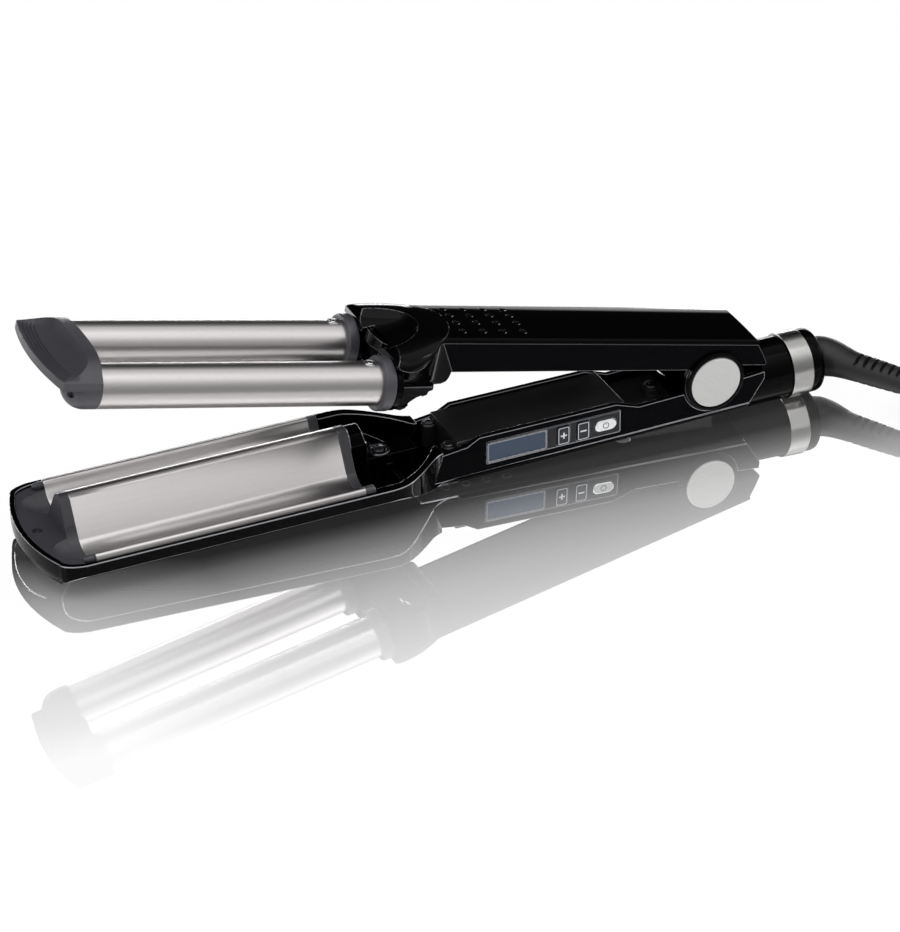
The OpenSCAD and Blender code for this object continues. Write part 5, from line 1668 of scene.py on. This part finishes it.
def make_strain_relief():
    """The elbow and its tapered sleeve, cut by slots from either side in turn."""
    count, around = 132, 40
    turns = [math.tau * i / around for i in range(around)]
    radii, rings = list(enumerate(ELBOW_R)), []
    for k in range(count + 1):
        at = (len(ELBOW) - 1) * k / count
        x, y, dx, dy = elbow_at(at, 0.02)
        r, size = smooth_table(radii, at), math.hypot(dx, dy)
        side = (-dy / size, dx / size)
        rings.append([
            (x + side[0] * r * math.cos(a), y + side[1] * r * math.cos(a), TAIL_Z + r * math.sin(a))
            for a in turns
        ])
    sleeve = skinned("strain_relief_sleeve", rings)
    slots, at = [], SLOT_START
    while at < SLOT_END:
        slots += [relief_slot(at, up) for up in (-1, 1)]
        at += SLOT_STEP
    carved(sleeve, merged(slots, "slots"))
    rounded(sleeve, 0.18, 2, 40, False)
    placed(sleeve, LOWER, "swivel", "rubber", ["strain_relief"])


def make_tie():
    """A flat strap round the whole coil, with a small buckle on its outer side."""
    d, mid = mm(sizes().cord_diameter), mm(sizes().coil_radius)
    inner, outer, high = mid - 1.75 * d, mid + 1.75 * d, 4 * d
    chord = math.sqrt(inner * inner - 36.0)

    def loop(grow):
        r = 2.2 + grow
        x0, x1, z0, z1 = chord - grow, outer + grow, 0.8 - grow, high + grow
        return (
            arc((x1 - r, z1 - r), r, 90, 0, 6) + arc((x1 - r, z0 + r), r, 0, -90, 6)
            + arc((x0 + r, z0 + r), r, -90, -180, 6) + arc((x0 + r, z1 - r), r, 180, 90, 6)
        )

    strap = carved(through("cord_tie_strap", loop(0.8), -6, 6), through("inside", loop(0.0), -7, 7))
    buckle = box("buckle", outer - 0.2, outer + 0.8, -7.5, 7.5, high / 2 - 5, high / 2 + 5)
    rounded(buckle, 0.3, 2)
    rounded(strap, 0.2, 2, 40, False)
    strap = merged([strap, buckle], "cord_tie_strap")
    turn = Matrix.Translation((COIL_AT[0], COIL_AT[1], 0)) @ Matrix.Rotation(math.radians(110), 4, "Z") @ ROW
    return placed(strap, turn, "swivel", "rubber", ["cord_tie"])


PLUG_LENGTH = 43.0


def make_plug():
    """A flat two-pin plug that lies on the coil, with finger grips in its sides."""
    steps, around = 60, 48
    # distance from the cord, half width and half height
    profile = [
        (0.0, 4.6, 4.6), (6.6, 4.6, 4.6), (7.0, 5.5, 5.5), (9.0, 7.2, 5.8), (13.0, 10.2, 6.3),
        (19.0, 14.2, 6.8), (25.0, 16.6, 6.9), (30.0, 17.4, 6.9), (42.4, 17.5, 6.9), (PLUG_LENGTH, 16.9, 6.3),
    ]
    turns = [math.tau * (k + 0.5) / around for k in range(around)]
    rings = []
    for i in range(steps + 1):
        at = PLUG_LENGTH * i / steps
        wide = smooth_table([(a, w) for a, w, h in profile], at)
        high = smooth_table([(a, h) for a, w, h in profile], at)
        flat = max(wide - high, 0.0)
        rings.append([
            (math.copysign(flat, math.cos(a)) + high * math.cos(a), at, high * math.sin(a)) for a in turns
        ])
    body = skinned("plug_moulding", rings)
    for s in (-1, 1):
        for k in range(4):
            carved(body, cylinder("groove", s * 18.2, 24 + k * 2.6, 0, 0.9, 9, "Z", 16))
    rounded(body, 0.25, 2, 40, False)
    frame_at = Matrix.Translation(PLUG_AT) @ ROW
    body = placed(body, frame_at, "swivel", "satin_black", ["plug_body"])
    profile = [
        (PLUG_LENGTH, 0), (PLUG_LENGTH, 2.0), (60.2, 2.0), (61.2, 1.7), (61.8, 1.1), (62.0, 0.5), (62.0, 0),
    ]
    pins = merged([turned("pin", profile, "Y", (s * 9.2, 0, 0), 40) for s in (-1, 1)], "plug_pin_pair")
    placed(pins, frame_at, "swivel", "steel", ["plug_pins"])
    return body, pins


# what keeps its machined form and gets a finish
CARRIED = {
    "circuit_board": "board_green", "switch_block": "switch_white", "display_module": "module_grey",
    "board_post": "satin_black", "shell_screw_front": "dark_screw", "shell_screw_rear": "dark_screw",
    "plate_carrier": "heater_metal", "plate_heater": "heater_metal", "plate_cushion_front": "rubber_red",
    "plate_cushion_rear": "rubber_red", "hinge_pin": "steel", "hinge_spring": "steel",
    "upper_liner": "satin_black", "barrel_heater_near": "heater_metal", "barrel_heater_far": "heater_metal",
    "swivel_core": "satin_black",
}


def dress_carried():
    for name, material in CARRIED.items():
        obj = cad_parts[name]
        obj.data.materials.clear()
        obj.data.materials.append(finish(material))


# ------------------------------------------------------------------ stage


def lamp(name, at, toward, width, height, power, shade=(1, 1, 1)):
    data = bpy.data.lights.new(name, "AREA")
    data.shape, data.size, data.size_y = "RECTANGLE", width, height
    data.energy, data.color = power, shade
    obj = bpy.data.objects.new(name, data)
    bpy.context.scene.collection.objects.link(obj)
    obj.location = at
    obj.rotation_euler = (Vector(toward) - Vector(at)).to_track_quat("-Z", "Y").to_euler()
    return obj


FLOOR_GLOW, WORLD_LIGHT = 0.45, 0.36
# the mirror image fades towards the viewer over this length, in metres, and earlier at the tip
FADE_LENGTH, FADE_START, TIP_START, TIP_SLOPE, TIP_SHIFT = 0.125, 0.020, 0.075, 16.0, 0.2
FADE = (
    (0.0, 0.96), (0.14, 0.8), (0.24, 0.66), (0.4, 0.52), (0.6, 0.38), (0.84, 0.22), (1.0, 0.08),
)


def make_floor():
    """A white floor that mirrors the object, less and less towards the viewer."""
    bpy.ops.object.select_all(action="DESELECT")
    bpy.ops.mesh.primitive_plane_add(size=12.0, location=(0, 0, 0))
    floor = bpy.context.object
    floor.name = "studio_floor"
    made = Finish("floor_white", tuple(colours().floor), 0.7, **{"Specular IOR Level": 0.0})
    x, y, z = made.split(made.place())
    tip = made.stops((x + TIP_START) * TIP_SLOPE, (0.0, 1.0), (1.0, 0.0)) * TIP_SHIFT
    fade = made.stops((y + FADE_START) * (-1 / FADE_LENGTH) + tip, *FADE)
    mirror = made.node("ShaderNodeBsdfGlossy", {}, {"Color": (1, 1, 1, 1), "Roughness": 0.0})
    base = made.node("ShaderNodeEmission", {}, {"Color": (1, 1, 1, 1), "Strength": FLOOR_GLOW})
    lit = made.node("ShaderNodeAddShader", {}, {0: Value(made, made.shader.outputs[0]), 1: base})
    mixed = made.node("ShaderNodeMixShader", {}, {0: fade, 1: lit, 2: mirror})
    made.tree.links.new(mixed.socket, made.tree.nodes["Material Output"].inputs["Surface"])
    floor.data.materials.append(made.material)


def make_world():
    """White where it is seen, directly or in gloss, and a weaker light for everything else."""
    world = bpy.data.worlds.new("studio")
    bpy.context.scene.world = world
    world.use_nodes = True
    tree = world.node_tree
    background = tree.nodes["Background"]
    background.inputs["Color"].default_value = (1, 1, 1, 1)
    path = tree.nodes.new("ShaderNodeLightPath")
    seen = path.outputs["Is Camera Ray"]
    for ray in ("Is Glossy Ray", "Is Transmission Ray"):
        either = tree.nodes.new("ShaderNodeMath")
        either.operation = "MAXIMUM"
        tree.links.new(seen, either.inputs[0])
        tree.links.new(path.outputs[ray], either.inputs[1])
        seen = either.outputs[0]
    level = tree.nodes.new("ShaderNodeMapRange")
    level.inputs["To Min"].default_value = WORLD_LIGHT
    level.inputs["To Max"].default_value = 1.0
    tree.links.new(seen, level.inputs["Value"])
    tree.links.new(level.outputs[0], background.inputs["Strength"])


def card(name, corners, power, *levels):
    """A screen that only the object's own gloss sees; levels run from its foot to its top."""
    bpy.ops.object.select_all(action="DESELECT")
    bpy.ops.mesh.primitive_plane_add(size=2.0)
    screen = bpy.context.object
    screen.name = name
    for vertex, corner in zip(screen.data.vertices, corners):
        vertex.co = corner
    made = Finish(name, (0, 0, 0), 1.0, **{"Specular IOR Level": 0.0})
    height = made.split(made.place())[2]
    bottom, top = corners[0][2], corners[-1][2]
    strength = made.stops((height - bottom) * (1 / (top - bottom)), *levels) * power
    glow = made.node("ShaderNodeEmission", {}, {"Color": (1, 1, 1, 1), "Strength": strength})
    clear = made.node("ShaderNodeBsdfTransparent", {}, {"Color": (1, 1, 1, 1)})
    sharp = made.node("ShaderNodeLightPath", output="Is Singular Ray")
    mixed = made.node("ShaderNodeMixShader", {}, {0: sharp, 1: glow, 2: clear})
    made.tree.links.new(mixed.socket, made.tree.nodes["Material Output"].inputs["Surface"])
    screen.data.materials.append(made.material)
    screen.visible_camera = screen.visible_diffuse = screen.visible_shadow = False


def wall(y, z0, z1):
    """Corners of an upright screen as long as the object, at y."""
    return [(-1.6, y, z0), (2.0, y, z0), (-1.6, y, z1), (2.0, y, z1)]


def make_stage():
    make_world()
    make_floor()
    middle = (0.15, 0.0, 0.04)
    card("card_back", wall(0.75, 0.12, 1.7), 1.0, (0.0, 0.01), (0.4, 0.02), (0.7, 0.15), (1.0, 0.5))
    card("card_low", wall(0.74, 0.03, 0.12), 2.6, (0.0, 0.9), (0.6, 0.7), (1.0, 0.1))
    card(
        "card_front", wall(-0.20, 0.0, 0.45), 1.6,
        (0.0, 0.19), (0.26, 0.27), (0.45, 0.55), (0.7, 0.9), (1.0, 1.0),
    )
    lamp("overhead", (0.0, -0.27, 1.1), middle, 1.6, 0.9, 4.4)
    lamp("rim", (0.15, 0.72, 0.035), middle, 2.0, 0.02, 1.6).visible_camera = False
    lamp("left", (-1.0, -0.35, 0.7), middle, 0.4, 0.4, 0.6)
    lamp("right", (1.2, -0.2, 0.6), middle, 0.08, 0.6, 0.9)


# ------------------------------------------------------------------ operators and panel


def operator(key, label, text, *makers):
    """An operator that runs the makers in order and fails loudly."""

    def execute(self, context):
        for maker in makers:
            maker()
        return {"FINISHED"}

    return type(
        f"WAVER_OT_{key}", (bpy.types.Operator,),
        {"bl_idname": f"waver.{key}", "bl_label": label, "__doc__": text, "execute": execute,
         "bl_options": {"REGISTER", "UNDO"}},
    )


def make_all_cords():
    cord, route = make_cord()
    tie = make_tie()
    body, pins = make_plug()


OPERATORS = [
    operator("camera", "Camera", "Places the camera", make_camera),
    operator("cord", "Mains cord", "Makes the cord, its tie and its plug", make_all_cords),
    operator(
        "upper_handle", "Upper handle", "Makes the upper cover and side frame",
        make_upper_cover, make_upper_frame,
    ),
    operator("upper_head", "Upper head", "Makes the head that carries the barrels", make_upper_head),
    operator("barrels", "Barrels", "Makes both barrels, their collars and rivets", make_barrels),
    operator(
        "tip_guard", "Tip guard", "Makes the ridged guard and the barrels' round ends",
        make_tip_guard,
    ),
    operator("lower_shell", "Lower shell", "Makes the tray and the lower handle's back", make_lower_shell),
    operator(
        "lower_frame", "Lower frame", "Makes the lower side frame and the inner deck",
        make_lower_frame, make_inner_deck,
    ),
    operator(
        "wave_plate", "Waved plate", "Makes the waved plate and the strips behind it",
        make_wave_plate, make_end_strip,
    ),
    operator("tip_insert", "Tip insert", "Makes the tray's tip insert and its screw", make_tip_insert),
    operator("neck", "Neck", "Makes the neck bracket and the screws", make_neck),
    operator("controls", "Controls", "Makes the panel, display and keys", make_controls),
    operator("hinge", "Hinge", "Makes the hinge rings and discs", make_hinge),
    operator(
        "tail", "Tail", "Makes the tail barrel, its rings and the strain relief",
        make_tail, make_strain_relief,
    ),
    operator("carried", "Inner parts", "Gives the inner parts their finishes", dress_carried),
    operator("stage", "Studio", "Makes the floor, the world and the lamps", make_stage),
]


class WAVER_PT_panel(bpy.types.Panel):
    """Lists the steps that build the hair waver"""

    bl_label = "Hair Waver"
    bl_idname = "WAVER_PT_panel"
    bl_space_type = "VIEW_3D"
    bl_region_type = "UI"
    bl_category = "Hair Waver"

    def draw(self, context):
        layout = self.layout
        for made in OPERATORS:
            layout.operator(made.bl_idname)
        for group in (context.scene.waver_sizes, context.scene.waver_colours):
            for name in group.__annotations__:
                layout.prop(group, name)


CLASSES = [WaverSizes, WaverColours, *OPERATORS, WAVER_PT_panel]


def register():
    for made in CLASSES:
        bpy.utils.register_class(made)
    bpy.types.Scene.waver_sizes = PointerProperty(type=WaverSizes)
    bpy.types.Scene.waver_colours = PointerProperty(type=WaverColours)


def unregister():
    del bpy.types.Scene.waver_colours
    del bpy.types.Scene.waver_sizes
    for made in reversed(CLASSES):
        bpy.utils.unregister_class(made)


def main():
    register()
    scene = bpy.context.scene
    scene.view_settings.view_transform = "Standard"
    for made in OPERATORS:
        group, name = made.bl_idname.split(".")
        getattr(getattr(bpy.ops, group), name)()


if __name__ == "__main__":
    main()
